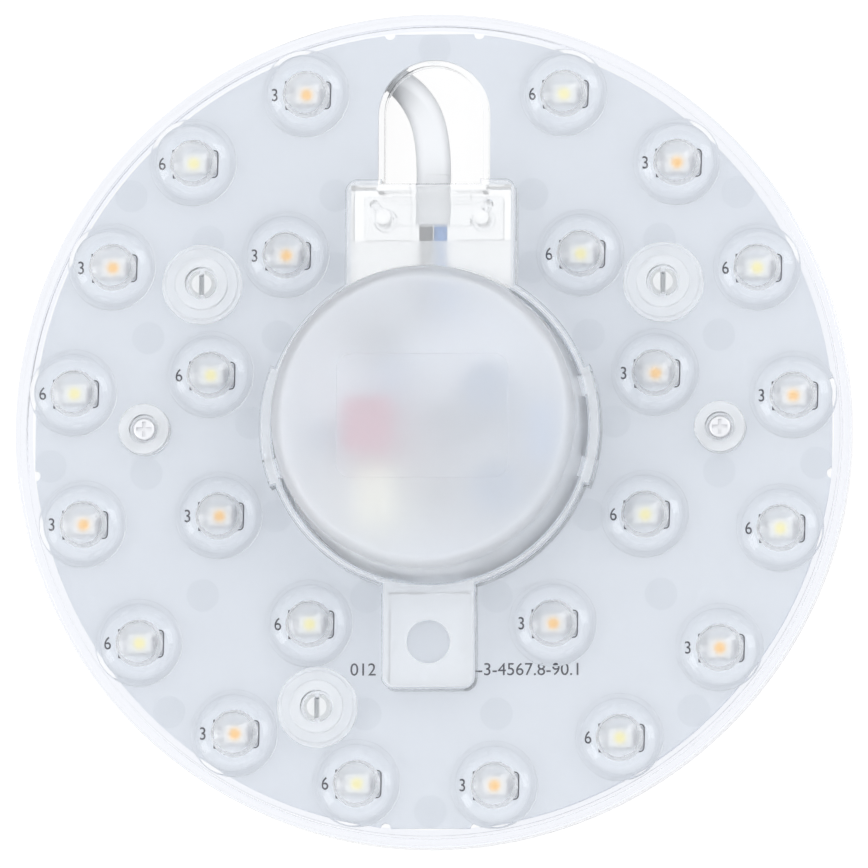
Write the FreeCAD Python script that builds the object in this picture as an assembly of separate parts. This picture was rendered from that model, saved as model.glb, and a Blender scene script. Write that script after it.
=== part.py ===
"""Magnetic LED ceiling module, built piece by piece in millimetres.

The module hangs on three magnets. Here it lies on them, light side up:
z = 0 is the plane where the magnets touch, +Z is the light side, and the
origin is the centre of that plane. +Y points to the cable slot.
"""
import FreeCAD
import Part
import math
import os

from FreeCAD import Vector

# Overall plan and levels
outer_diameter = 128.0
board_edge_gap = 1.15
board_flat_depth = 0.3
board_notch_radius = 0.8
board_thickness = 1.0
board_bottom = 8.5
plate_gap = 0.3
plate_thickness = 1.5
fit_gap = 0.1
loose_gap = 0.3

# Rim of the lens plate
skirt_thickness = 1.6
skirt_bottom = 6.5
rim_drop = 0.3
rim_round = 0.8
rim_line_inset = 0.2

# LED layout: two half rings outside, two groups of four inside
outer_ring_inset = 5.95
outer_count_per_side = 8
outer_left_start = 110.8
outer_left_pitch = 21.07
outer_right_start = 68.9
outer_right_pitch = -21.25
inner_ring_radius = 35.1
inner_count_per_side = 4
inner_left_start = 130.0
inner_right_start = 50.0
inner_pitch = 36.0

# LED package
led_length = 3.5
led_width = 2.8
led_height = 0.8
led_window_diameter = 2.2
led_window_depth = 0.15

# One lens
lens_foot_diameter = 13.4
lens_foot_height = 0.6
lens_diameter = 12.0
lens_height = 3.6
lens_pocket_gap = 0.46
lens_pocket_height = 3.1
lens_pocket_rise = 0.9

# Magnet seats and magnets
magnet_places = [(35.3, 22.3), (-35.3, 22.3), (-17.2, -42.6)]
seat_steps = [(12.3, 0.7), (11.0, 0.7), (8.1, 0.8)]
seat_bore_diameter = 5.0
seat_well_depth = 1.9
post_hole_diameter = 3.2
post_flange_diameter = 11.0
post_split = 0.8
post_tip_diameter = 4.2
post_tip_height = 1.1
cup_diameter = 12.0
cup_height = 7.3
cup_wall = 0.6
cup_floor = 1.0
magnet_chamfer = 0.3

# Screws through plate and board
screw_distance = 44.0
screw_seat_diameter = 7.8
screw_seat_height = 1.7
screw_well_diameter = 4.5
screw_head_diameter = 3.5
screw_head_height = 1.3
screw_shank_diameter = 2.4
screw_length = 6.0
screw_cross_width = 0.55
screw_cross_length = 2.3
screw_cross_depth = 0.6

# Cable slot and its sleeve
slot_width = 15.1
slot_edge = 5.3
slot_sleeve_wall = 0.85
slot_sleeve_bottom = 8.3

# Driver cover and collar
cover_foot_diameter = 47.6
cover_taper = 0.7
cover_clearance = 3.5
cover_round = 2.0
cover_wall = 1.3
label_width = 26.0
label_height = 18.8
label_corner = 2.2
label_depth = 0.2
collar_wall = 1.2
collar_top = 15.5
bulge_reach = 0.8
bulge_half_angle = 21.0
hook_half_angle = 15.0
hook_width = 3.2
hook_height = 1.2
hook_reach = 0.7
window_bottom = 12.6
window_height = 1.9

# Cable housing, clamp bar and pins
housing_width = 26.2
housing_end = 37.9
housing_wall = 0.9
housing_roof = 1.2
housing_corner = 2.0
front_recess = 0.7
cable_gate_width = 7.0
clamp_side_gap = 1.55
clamp_length = 6.7
clamp_end = 35.9
clamp_thickness = 1.6
clamp_wing_height = 1.3
clamp_corner = 0.3
clamp_rib_width = 16.0
clamp_rib_length = 0.9
clamp_rib_height = 0.7
pin_inset = 3.15
pin_place = 32.4
pin_diameter = 2.4
pin_head_diameter = 3.8
pin_head_height = 0.9
pin_tongue_diameter = 1.5
pin_tongue_lean = 1.2
pin_tongue_rise = 1.7
roof_rib_places = [34.7, 30.9]
roof_rib_gap = 0.3
roof_rib_thickness = 1.0
roof_panel_end = 28.4
roof_panel_thickness = 0.3

# Gate tab
tab_width = 14.4
tab_end = -40.2
tab_wall = 1.0
tab_corner = 2.0
gate_dimple_diameter = 6.6
gate_dimple_depth = 0.35
gate_place = -33.0

# Driver tray, board and what stands on it
tray_bottom = 2.0
tray_floor = 1.2
tray_wall = 1.2
tray_flange_reach = 1.3
tray_flange_thickness = 1.2
tray_chamfer = 0.8
driver_board_bottom = 5.0
driver_board_thickness = 1.2
driver_board_gap = 0.25
ledge_reach = 1.4
tongue_width = 12.0
tongue_reach = 6.5
link_pin_pitch = 2.54
link_pin_diameter = 0.7
link_pin_count = 3
lead_inset = 4.5

# Components on the driver board: middle or corner places, then sizes
film_capacitor_place = (-8.8, -0.65)
film_capacitor_size = (8.2, 9.1, 17.5)
film_capacitor_round = 1.8
choke_place = (-8.1, -10.7)
choke_size = (5.8, 9.0, 11.0)
choke_flange = 1.5
choke_waist = 0.4
input_can = (9.1, 5.3, 8.0, 15.0)
output_can = (10.5, -10.0, 8.0, 14.0)
small_can = (-16.0, -1.7, 5.0, 11.0)
can_groove_height = 1.6
can_groove_depth = 0.25
varistor_place = (-6.4, 7.9)
varistor_diameter = 7.0
varistor_thickness = 3.6
bridge_place = (-9.0, 14.2)
bridge_size = (6.4, 4.6, 2.6)
chip_place = (1.0, -9.5)
chip_size = (3.9, 4.9, 1.5)
drum_place = (2.0, 0.5)
drum_diameter = 6.4
drum_waist_diameter = 5.0
drum_height = 7.0
safety_capacitor_place = (17.2, -1.2)
safety_capacitor_size = (3.8, 9.0, 11.0)

# Flat cable, cores and connector
cable_width = 5.3
cable_thickness = 3.2
cable_run_diameter = 4.3
sheath_start = 31.2
sheath_end = 39.0
cable_level = 10.2
core_diameter = 2.1
core_pitch = 2.2
core_length_flat = 5.2
connector_length = 13.0
connector_width = 8.0
connector_height = 6.0
connector_entry = 1.8

# Levels and radii that follow
board_top = board_bottom + board_thickness
plate_bottom = board_top + plate_gap
plate_top = plate_bottom + plate_thickness
outer_radius = outer_diameter / 2
skirt_inner = outer_radius - skirt_thickness
board_radius = skirt_inner - board_edge_gap
board_flat_distance = board_radius - board_flat_depth
outer_ring_radius = board_radius - outer_ring_inset
lens_pocket_radius = math.hypot(led_length, led_width) / 2 + lens_pocket_gap
cover_foot_radius = cover_foot_diameter / 2
cover_top_radius = cover_foot_radius - cover_taper
centre_hole_radius = cover_foot_radius + loose_gap
collar_radius = centre_hole_radius + collar_wall
tray_radius = centre_hole_radius
driver_board_radius = tray_radius - tray_wall - driver_board_gap
slot_centre = board_radius - slot_edge - slot_width / 2
sleeve_half = slot_width / 2 + slot_sleeve_wall
housing_inner = housing_width / 2 - housing_wall
housing_front = housing_end - front_recess
clamp_half = housing_inner - clamp_side_gap
pin_x = clamp_half - pin_inset
roof_rib_half = pin_x - pin_diameter / 2 - roof_rib_gap
roof_bottom = collar_top - housing_roof
cable_top = cable_level + cable_thickness / 2 + fit_gap
clamp_top = cable_level - cable_thickness / 2
driver_board_top = driver_board_bottom + driver_board_thickness
cover_ceiling = driver_board_top + film_capacitor_size[2] + cover_clearance
cover_top = cover_ceiling + cover_wall
post_shaft_radius = post_hole_diameter / 2 - fit_gap
magnet_radius = cup_diameter / 2 - cup_wall - fit_gap
magnet_height = cup_height - cup_floor


def rod(radius, low, high, x=0.0, y=0.0):
    """Upright cylinder from one level to another."""
    return Part.makeCylinder(radius, high - low, Vector(x, y, low))


def block(x0, x1, y0, y1, z0, z1):
    """Box between two corners."""
    return Part.makeBox(x1 - x0, y1 - y0, z1 - z0, Vector(x0, y0, z0))


def turned(points):
    """Solid of revolution about Z of a closed outline of (r, z) points.

    An arc from the last point is written ("arc", point halfway, end point).
    """
    edges = []
    start = here = Vector(points[0][0], 0, points[0][1])
    for step in points[1:]:
        if step[0] == "arc":
            middle = Vector(step[1][0], 0, step[1][1])
            end = Vector(step[2][0], 0, step[2][1])
            edges.append(Part.Arc(here, middle, end).toShape())
        else:
            end = Vector(step[0], 0, step[1])
            edges.append(Part.LineSegment(here, end).toShape())
        here = end
    edges.append(Part.LineSegment(here, start).toShape())
    face = Part.Face(Part.Wire(edges))
    return face.revolve(Vector(0, 0, 0), Vector(0, 0, 1), 360)


def at(shape, x, y, z=0.0):
    """Copy of a shape moved to a place."""
    moved = shape.copy()
    moved.translate(Vector(x, y, z))
    return moved


def rounded_block(x0, x1, y0, y1, z0, z1, radius):
    """Box whose upright edges are rounded."""
    solid = block(x0, x1, y0, y1, z0, z1)
    upright = [e for e in solid.Edges if abs(e.tangentAt(e.FirstParameter).z) > 0.9]
    return solid.makeFillet(radius, upright)


def stadium(half_width, y_low, y_round, z0, z1):
    """Straight slot shape, cut off square at y_low, with its round end about (0, y_round)."""
    straight = block(-half_width, half_width, 0, y_round, z0, z1)
    pill = straight.fuse(rod(half_width, z0, z1, 0, y_round)).removeSplitter()
    reach = y_round + half_width
    return pill.common(block(-half_width, half_width, y_low, reach, z0, z1))


def polar(radius, degrees):
    """Place on a circle about the centre."""
    angle = math.radians(degrees)
    return radius * math.cos(angle), radius * math.sin(angle)


def ring_sector(inner, outer, low, high, middle, half_angle):
    """Part of a ring, centred on an angle in degrees."""
    span = 2 * half_angle
    outer_pie = Part.makeCylinder(outer, high - low, Vector(0, 0, low), Vector(0, 0, 1), span)
    inner_pie = rod(inner, low - 1, high + 1)
    sector = outer_pie.cut(inner_pie)
    sector.rotate(Vector(0, 0, 0), Vector(0, 0, 1), middle - half_angle)
    return sector


def join(shapes):
    """One solid from touching or crossing shapes."""
    return shapes[0].fuse(shapes[1:]).removeSplitter()


def led_places():
    """(x, y) of every LED: the warm ones and the cool ones."""
    warm, cool = [], []
    for i in range(outer_count_per_side):
        left = outer_left_start + i * outer_left_pitch
        right = outer_right_start + i * outer_right_pitch
        pair = (warm, cool) if i % 2 == 0 else (cool, warm)
        pair[0].append(polar(outer_ring_radius, left))
        pair[1].append(polar(outer_ring_radius, right))
    for i in range(inner_count_per_side):
        left = inner_left_start + i * inner_pitch
        right = inner_right_start - i * inner_pitch
        pair = (warm, cool) if i % 2 == 0 else (cool, warm)
        pair[0].append(polar(inner_ring_radius, left))
        pair[1].append(polar(inner_ring_radius, right))
    return warm, cool


def lens_body():
    """Outside of one lens: a low foot and a spherical cap."""
    foot = lens_foot_diameter / 2
    edge = lens_diameter / 2
    base = plate_top + lens_foot_height
    top = base + lens_height
    cap_radius = (edge ** 2 + lens_height ** 2) / (2 * lens_height)
    middle_r = edge / 2
    middle_z = top - cap_radius + math.sqrt(cap_radius ** 2 - middle_r ** 2)
    below = plate_top - plate_thickness / 2
    return turned([(0, below), (foot, below), (foot, base), (edge, base),
                   ("arc", (middle_r, middle_z), (0, top))])


def lens_pocket():
    """Hollow under one lens: a pocket over the LED with a low domed ceiling."""
    bore = lens_pocket_radius
    top = plate_bottom + lens_pocket_height
    dome_radius = (bore ** 2 + lens_pocket_rise ** 2) / (2 * lens_pocket_rise)
    middle_r = bore / 2
    middle_z = top - dome_radius + math.sqrt(dome_radius ** 2 - middle_r ** 2)
    below = plate_bottom - 1
    return turned([(0, below), (bore, below), (bore, top - lens_pocket_rise),
                   ("arc", (middle_r, middle_z), (0, top))])


def magnet_seat():
    """Stepped ring on the plate with a well for the post's snap fingers."""
    below = plate_top - plate_thickness / 2
    outline = [(0, below), (seat_steps[0][0] / 2, below)]
    level = plate_top
    for diameter, rise in seat_steps:
        outline.append((diameter / 2, level))
        level += rise
        outline.append((diameter / 2, level))
    outline.append((0, level))
    return turned(outline), level


def make_lens_plate():
    """The clear moulding that covers the whole light side."""
    groove = skirt_inner - rim_line_inset
    rim_top = plate_top - rim_drop
    corner = rim_round * (1 - math.sqrt(0.5))
    round_start = rim_top - rim_round
    plate = turned([
        (0, plate_bottom), (skirt_inner, plate_bottom), (skirt_inner, skirt_bottom),
        (outer_radius, skirt_bottom), (outer_radius, round_start),
        ("arc", (outer_radius - corner, rim_top - corner), (outer_radius - rim_round, rim_top)),
        (groove, rim_top), (groove, plate_top), (0, plate_top)])

    seat, seat_top = magnet_seat()
    screw_top = plate_top + screw_seat_height
    warm, cool = led_places()
    lens = lens_body()
    added = [at(lens, x, y) for x, y in warm + cool]
    added += [at(seat, x, y) for x, y in magnet_places]
    added += [rod(screw_seat_diameter / 2, board_top, screw_top, side * screw_distance)
              for side in (-1, 1)]

    # Collar with its two bulges, the cable housing and the gate tab
    added.append(rod(collar_radius, plate_bottom, collar_top))
    for middle in (0, 180):
        added.append(ring_sector(collar_radius - 0.5, collar_radius + bulge_reach, plate_bottom,
                                 collar_top, middle, bulge_half_angle))
    added.append(rounded_block(-housing_width / 2, housing_width / 2, 0, housing_end,
                               plate_bottom, collar_top, housing_corner))
    added.append(rounded_block(-tab_width / 2, tab_width / 2, tab_end, 0,
                               plate_bottom, collar_top, tab_corner))
    # Feet under the seats, which stand on the LED board
    added += [rod(seat_steps[-1][0] / 2, board_top, plate_top, x, y) for x, y in magnet_places]
    # Sleeve round the cable slot
    added.append(stadium(sleeve_half, housing_front - housing_wall, slot_centre,
                         slot_sleeve_bottom, plate_top))
    body = plate.fuse(added)

    cuts = [at(lens_pocket(), x, y) for x, y in warm + cool]
    for x, y in magnet_places:
        cuts.append(rod(seat_bore_diameter / 2, seat_top - seat_well_depth, seat_top + 1, x, y))
        cuts.append(rod(post_hole_diameter / 2, plate_bottom - 1, seat_top, x, y))
    for side in (-1, 1):
        cuts.append(rod(screw_well_diameter / 2, plate_top, screw_top + 1, side * screw_distance))
        cuts.append(rod(screw_shank_diameter / 2 + fit_gap, plate_bottom - 1, plate_top + 1,
                        side * screw_distance))
    # Centre hole, housing and tab hollows, slot
    cuts.append(rod(centre_hole_radius, plate_bottom - 1, collar_top + 1))
    inner_front = housing_front - housing_wall
    cuts.append(block(-housing_inner, housing_inner, 0, inner_front, plate_bottom - 1, roof_bottom))
    for side in (-1, 1):
        corner_pocket = block(min(side * sleeve_half, side * housing_inner),
                              max(side * sleeve_half, side * housing_inner),
                              inner_front - 1, housing_end - housing_wall, plate_bottom - 1, roof_bottom)
        cuts.append(corner_pocket)
    cuts.append(block(-cable_gate_width / 2, cable_gate_width / 2, inner_front - 1,
                      housing_end + 1, skirt_bottom, cable_top))
    cuts.append(block(-tab_width / 2 + tab_wall, tab_width / 2 - tab_wall, tab_end + tab_wall,
                      -collar_radius, plate_bottom - 1, roof_bottom))
    cuts.append(rod(gate_dimple_diameter / 2, collar_top - gate_dimple_depth, collar_top + 1,
                    0, gate_place))
    cuts.append(stadium(slot_width / 2, housing_front, slot_centre,
                        slot_sleeve_bottom - 1, collar_top + 1))
    # Windows for the cover's hooks
    for side in (0, 180):
        for turn in (-hook_half_angle, hook_half_angle):
            window = block(centre_hole_radius - 1, collar_radius + bulge_reach + 1,
                           -hook_width / 2 - fit_gap, hook_width / 2 + fit_gap,
                           window_bottom, window_bottom + window_height)
            window.rotate(Vector(0, 0, 0), Vector(0, 0, 1), side + turn)
            cuts.append(window)
    hollowed = body.cut(cuts)
    # Ribs that hold the cable down from the housing's roof, and the roof's thicker panel
    ribs = [block(-roof_rib_half, roof_rib_half, y, y + roof_rib_thickness, cable_top, roof_bottom)
            for y in roof_rib_places]
    panel = block(-housing_inner, housing_inner, 0, roof_panel_end,
                  roof_bottom - roof_panel_thickness, roof_bottom)
    panel = panel.cut(rod(centre_hole_radius, plate_bottom, collar_top))
    return hollowed.fuse(ribs + [panel]).removeSplitter()


def make_driver_cover():
    """Frosted cup over the driver, with four hooks and a label recess."""
    foot = cover_foot_radius
    top_radius = cover_top_radius
    shoulder = top_radius - cover_round
    bend = cover_round * (1 - math.sqrt(0.5))
    inner_foot = foot - cover_wall
    inner_top = top_radius - cover_wall
    inner_round = cover_round - cover_wall / 2
    inner_bend = inner_round * (1 - math.sqrt(0.5))
    ceiling = cover_ceiling
    cup = turned([
        (inner_foot, board_bottom), (foot, board_bottom),
        (top_radius, cover_top - cover_round),
        ("arc", (top_radius - bend, cover_top - bend), (shoulder, cover_top)),
        (0, cover_top), (0, ceiling), (inner_top - inner_round, ceiling),
        ("arc", (inner_top - inner_bend, ceiling - inner_bend),
         (inner_top, ceiling - inner_round))])
    label = rounded_block(-label_width / 2, label_width / 2, -label_height / 2, label_height / 2,
                          cover_top - label_depth, cover_top + 1, label_corner)
    hook_top = window_bottom + fit_gap + hook_height
    hooks = []
    for side in (0, 180):
        for turn in (-hook_half_angle, hook_half_angle):
            root = foot - cover_wall / 2
            tip = foot + loose_gap + hook_reach
            outline = [Vector(root, -hook_width / 2, hook_top),
                       Vector(tip, -hook_width / 2, hook_top),
                       Vector(tip, -hook_width / 2, hook_top - hook_height / 2),
                       Vector(foot, -hook_width / 2, hook_top - hook_height),
                       Vector(root, -hook_width / 2, hook_top - hook_height)]
            face = Part.Face(Part.makePolygon(outline + outline[:1]))
            hook = face.extrude(Vector(0, hook_width, 0))
            hook.rotate(Vector(0, 0, 0), Vector(0, 0, 1), side + turn)
            hooks.append(hook)
    notch = block(-core_pitch - core_diameter, core_pitch + core_diameter, inner_foot / 2,
                  foot + 1, board_bottom - 1, cable_level + core_diameter)
    tongue_notch = block(-tongue_width / 2 - loose_gap, tongue_width / 2 + loose_gap, -foot - 1,
                         -inner_foot / 2, board_bottom - 1, board_top + loose_gap)
    shell = join([cup] + hooks)
    return shell.cut([label, notch, tongue_notch]).removeSplitter()


def make_led_board():
    """White aluminium board: round, four flats, notches, slot and centre hole."""
    disc = rod(board_radius, board_bottom, board_top)
    reach = board_radius + 2
    low, high = board_bottom - 1, board_top + 1
    notch_place = math.sqrt(board_radius ** 2 - board_flat_distance ** 2) + board_notch_radius
    cuts = []
    for i in range(4):
        tools = [block(board_flat_distance, reach, -reach, reach, low, high)]
        tools += [rod(board_notch_radius, low, high, board_flat_distance, side * notch_place)
                  for side in (-1, 1)]
        for tool in tools:
            tool.rotate(Vector(0, 0, 0), Vector(0, 0, 1), 90 * i)
            cuts.append(tool)
    cuts.append(stadium(sleeve_half + 2 * fit_gap, 0, slot_centre, board_bottom - 1, board_top + 1))
    cuts.append(block(-housing_inner, housing_inner, 0, housing_end - housing_wall,
                      board_bottom - 1, board_top + 1))
    centre = rod(centre_hole_radius, board_bottom - 1, board_top + 1)
    tongue = block(-tongue_width / 2, tongue_width / 2, -centre_hole_radius - 1,
                   -centre_hole_radius + tongue_reach, board_bottom - 2, board_top + 2)
    cuts.append(centre.cut(tongue))
    for x, y in magnet_places:
        cuts.append(rod(post_hole_diameter / 2, board_bottom - 1, board_top + 1, x, y))
    for side in (-1, 1):
        cuts.append(rod(screw_shank_diameter / 2 + fit_gap, board_bottom - 1, board_top + 1,
                        side * screw_distance))
    for x in link_pin_places():
        cuts.append(rod(link_pin_diameter / 2 + fit_gap, board_bottom - 1, board_top + 1,
                        x, link_line()))
    return disc.cut(cuts).removeSplitter()


def link_line():
    """y of the row of pins that joins the two boards."""
    return -centre_hole_radius + tongue_reach - 2.0


def link_pin_places():
    """x of each pin in that row."""
    first = -(link_pin_count - 1) / 2 * link_pin_pitch
    return [first + i * link_pin_pitch for i in range(link_pin_count)]


def make_led(x, y):
    """One surface LED with a round window for its phosphor."""
    body = block(x - led_length / 2, x + led_length / 2, y - led_width / 2, y + led_width / 2,
                 board_top, board_top + led_height)
    window = rod(led_window_diameter / 2, board_top + led_height - led_window_depth,
                 board_top + led_height + 1, x, y)
    return body.cut(window)


def make_magnet_post(x, y):
    """Clear post: flange under the board, shaft, and two split snap fingers."""
    seat_top = magnet_seat()[1]
    well_floor = seat_top - seat_well_depth
    tip_low = well_floor
    tip_high = tip_low + post_tip_height
    tip = post_tip_diameter / 2
    post = turned([
        (0, cup_height), (post_flange_diameter / 2, cup_height),
        (post_flange_diameter / 2, board_bottom), (post_shaft_radius, board_bottom),
        (post_shaft_radius, tip_low), (tip, tip_low), (tip, tip_low + post_tip_height / 3),
        (post_shaft_radius, tip_high), (0, tip_high)])
    split = block(-post_split / 2, post_split / 2, -tip - 1, tip + 1, plate_bottom, tip_high + 1)
    return at(post.cut(split), x, y)


def make_magnet_cup(x, y):
    """Steel cup that holds the magnet."""
    cup = rod(cup_diameter / 2, 0, cup_height)
    hollow = rod(cup_diameter / 2 - cup_wall, -1, magnet_height)
    return at(cup.cut(hollow), x, y)


def make_magnet(x, y):
    """Magnet disc, flush with the cup's rim."""
    disc = rod(magnet_radius, 0, magnet_height)
    edge = [e for e in disc.Edges if e.BoundBox.ZMax < 0.001]
    return at(disc.makeChamfer(magnet_chamfer, edge), x, y)


def make_case_screws():
    """Two pan-head screws with a cross recess."""
    screws = []
    for side in (-1, 1):
        x = side * screw_distance
        head_low = plate_top
        head = rod(screw_head_diameter / 2, head_low, head_low + screw_head_height, x, 0)
        rim = [e for e in head.Edges if e.BoundBox.ZMin > head_low + 0.5 and e.Closed]
        head = head.makeFillet(0.4, rim)
        shank = rod(screw_shank_diameter / 2, head_low - screw_length, head_low, x, 0)
        point = Part.makeCone(screw_shank_diameter / 4, screw_shank_diameter / 2, 0.8,
                              Vector(x, 0, head_low - screw_length - 0.8))
        half_w, half_l = screw_cross_width / 2, screw_cross_length / 2
        floor = head_low + screw_head_height - screw_cross_depth
        high = head_low + screw_head_height + 1
        cross = [block(x - half_l, x + half_l, -half_w, half_w, floor, high),
                 block(x - half_w, x + half_w, -half_l, half_l, floor, high)]
        screws.append(join([head, shank, point]).cut(cross))
    return Part.makeCompound(screws)


def make_cable_clamp():
    """Clear bar under the cable: wings beside it, a tray for it, two pin holes."""
    low = clamp_top - clamp_thickness
    bar = rounded_block(-clamp_half, clamp_half, clamp_end - clamp_length, clamp_end,
                        low, clamp_top + clamp_wing_height, clamp_corner)
    channel = block(-cable_gate_width / 2, cable_gate_width / 2, clamp_end - clamp_length - 1,
                    clamp_end + 1, clamp_top, clamp_top + clamp_wing_height + 1)
    wide, narrow = clamp_rib_width / 2, clamp_rib_width / 2 - 2 * clamp_rib_length
    outline = [Vector(-wide, clamp_end, low), Vector(wide, clamp_end, low),
               Vector(narrow, clamp_end - clamp_rib_length, low),
               Vector(-narrow, clamp_end - clamp_rib_length, low)]
    rib = Part.Face(Part.makePolygon(outline + outline[:1])).extrude(Vector(0, 0, -clamp_rib_height))
    holes = [rod(pin_diameter / 2 + fit_gap, low - 1, clamp_top + clamp_wing_height + 1,
                 side * pin_x, pin_place) for side in (-1, 1)]
    return join([bar, rib]).cut([channel] + holes).removeSplitter()


def make_clamp_pins():
    """Two clear pins, headed below the bar, each with a ball and a leaning tongue on top."""
    pins = []
    low = clamp_top - clamp_thickness
    ball_radius = pin_diameter / 2
    ball_level = roof_bottom - pin_tongue_diameter / 2 - ball_radius
    for side in (-1, 1):
        x = side * pin_x
        shaft = rod(pin_diameter / 2, low, ball_level, x, pin_place)
        ball = Part.makeSphere(ball_radius, Vector(x, pin_place, ball_level))
        head = Part.makeSphere(pin_head_diameter / 2, Vector(x, pin_place, low),
                               Vector(0, 0, 1), -90, 0, 360)
        reach = pin_head_diameter
        limit = block(x - reach, x + reach, pin_place - reach, pin_place + reach,
                      low - pin_head_height, low)
        lean = Vector(side * pin_tongue_lean, pin_tongue_rise, ball_radius)
        root = Vector(x, pin_place, ball_level)
        tongue = Part.makeCylinder(pin_tongue_diameter / 2, lean.Length, root, lean)
        end = Part.makeSphere(pin_tongue_diameter / 2, root + lean)
        pins.append(join([shaft, ball, head.common(limit), tongue, end]))
    return Part.makeCompound(pins)


def make_driver_tray():
    """Insulating tray below the driver, with a flange under the LED board."""
    outer = tray_radius
    inner = outer - tray_wall
    ledge = inner - ledge_reach
    floor_top = tray_bottom + tray_floor
    flange_low = board_bottom - tray_flange_thickness
    return turned([
        (0, tray_bottom), (outer - tray_chamfer, tray_bottom), (outer, tray_bottom + tray_chamfer),
        (outer, flange_low), (outer + tray_flange_reach, flange_low),
        (outer + tray_flange_reach, board_bottom), (inner, board_bottom),
        (inner, driver_board_bottom), (ledge, driver_board_bottom), (ledge, floor_top),
        (0, floor_top)])


def make_driver_board():
    """Round circuit board of the driver, seated on the tray's ledge."""
    board = rod(driver_board_radius, driver_board_bottom, driver_board_top)
    holes = [rod(core_diameter / 2 + fit_gap, driver_board_bottom - 1, driver_board_top + 1,
                 side * core_pitch, lead_landing()) for side in (-1, 1)]
    holes += [rod(link_pin_diameter / 2 + fit_gap, driver_board_bottom - 1, driver_board_top + 1,
                  x, link_line()) for x in link_pin_places()]
    return board.cut(holes)


def lead_landing():
    """y where the two cores go into the driver board."""
    return driver_board_radius - lead_inset


def make_can(x, y, diameter, height):
    """Electrolytic capacitor: a can with a rolled groove and rounded top."""
    radius = diameter / 2
    low, high = driver_board_top, driver_board_top + height
    groove = low + can_groove_height
    dip = can_groove_depth
    can = turned([(0, low), (radius, low), (radius, groove - dip),
                  ("arc", (radius - dip, groove), (radius, groove + dip)),
                  (radius, high - 2 * dip), (radius - 2 * dip, high), (0, high)])
    return at(can, x, y)


def standing_block(place, size):
    """Box of a component, its foot on the driver board."""
    (x, y), (width, length, height) = place, size
    return block(x - width / 2, x + width / 2, y - length / 2, y + length / 2,
                 driver_board_top, driver_board_top + height)


def make_box_part(place, size, radius):
    """Box-shaped component with rounded upright edges, standing on the driver board."""
    solid = standing_block(place, size)
    upright = [e for e in solid.Edges if abs(e.tangentAt(e.FirstParameter).z) > 0.9]
    return solid.makeFillet(radius, upright)


def make_film_capacitor():
    """Dipped film capacitor: a pillow block with all edges rounded."""
    solid = standing_block(film_capacitor_place, film_capacitor_size)
    rounded = [e for e in solid.Edges if e.BoundBox.ZMax > driver_board_top + 1]
    return solid.makeFillet(film_capacitor_round, rounded)


def make_choke():
    """Choke: ferrite end flanges with a wound and taped middle."""
    width, length, height = choke_size
    lower = standing_block(choke_place, (width, length, choke_flange))
    upper = at(lower, 0, 0, height - choke_flange)
    winding = make_box_part(choke_place, (width - 2 * choke_waist, length - 2 * choke_waist, height),
                            choke_flange)
    return join([lower, upper, winding])


def make_varistor():
    """Varistor: a thick disc standing on its edge."""
    x, y = varistor_place
    radius = varistor_diameter / 2
    start = Vector(x - varistor_thickness / 2, y, driver_board_top + radius)
    disc = Part.makeCylinder(radius, varistor_thickness, start, Vector(1, 0, 0))
    return disc.makeFillet(varistor_thickness / 5, [e for e in disc.Edges if e.Closed])


def make_drum_choke():
    """Drum core: two round flanges and a waist of wire."""
    low, high = driver_board_top, driver_board_top + drum_height
    radius, waist = drum_diameter / 2, drum_waist_diameter / 2
    flange = drum_height / 7
    drum = turned([(0, low), (radius, low), (radius, low + flange), (waist, low + flange),
                   (waist, high - flange), (radius, high - flange), (radius, high), (0, high)])
    return at(drum, *drum_place)


def make_link_header():
    """Plastic strip that carries the pins between the two boards."""
    half = link_pin_pitch * link_pin_count / 2
    strip = block(-half, half, link_line() - 1.25, link_line() + 1.25,
                  driver_board_top, board_bottom)
    holes = [rod(link_pin_diameter / 2, driver_board_top - 1, board_bottom + 1, x, link_line())
             for x in link_pin_places()]
    return strip.cut(holes)


def make_link_pins():
    """The pins: through the driver board, the strip and the LED board's tongue."""
    return Part.makeCompound([
        rod(link_pin_diameter / 2, driver_board_bottom - 1.0, board_top + 0.9, x, link_line())
        for x in link_pin_places()])


def swept(points, diameter):
    """Round tube along straight runs joined by tangent arcs, with its bend radii and length."""
    radii = []
    edges = []
    here = points[0]
    length = 0.0
    for i in range(1, len(points) - 1):
        before, corner, after = points[i - 1], points[i], points[i + 1]
        run_in, run_out = (corner - before).Length, (after - corner).Length
        towards, away = (before - corner).normalize(), (after - corner).normalize()
        turn = math.pi - towards.getAngle(away)
        setback = 0.45 * min(run_in, run_out)
        radius = setback / math.tan(turn / 2)
        radii.append(radius)
        start = corner + towards * setback
        end = corner + away * setback
        middle_way = (towards + away).normalize()
        middle = corner + middle_way * (radius / math.cos(turn / 2) - radius)
        edges.append(Part.LineSegment(here, start).toShape())
        edges.append(Part.Arc(start, middle, end).toShape())
        length += (start - here).Length + radius * turn
        here = end
    edges.append(Part.LineSegment(here, points[-1]).toShape())
    length += (points[-1] - here).Length
    spine = Part.Wire(edges)
    heading = points[1] - points[0]
    ring = Part.Wire([Part.makeCircle(diameter / 2, points[0], heading)])
    tube = spine.makePipeShell([ring], True, True)
    return tube, radii, length


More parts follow.
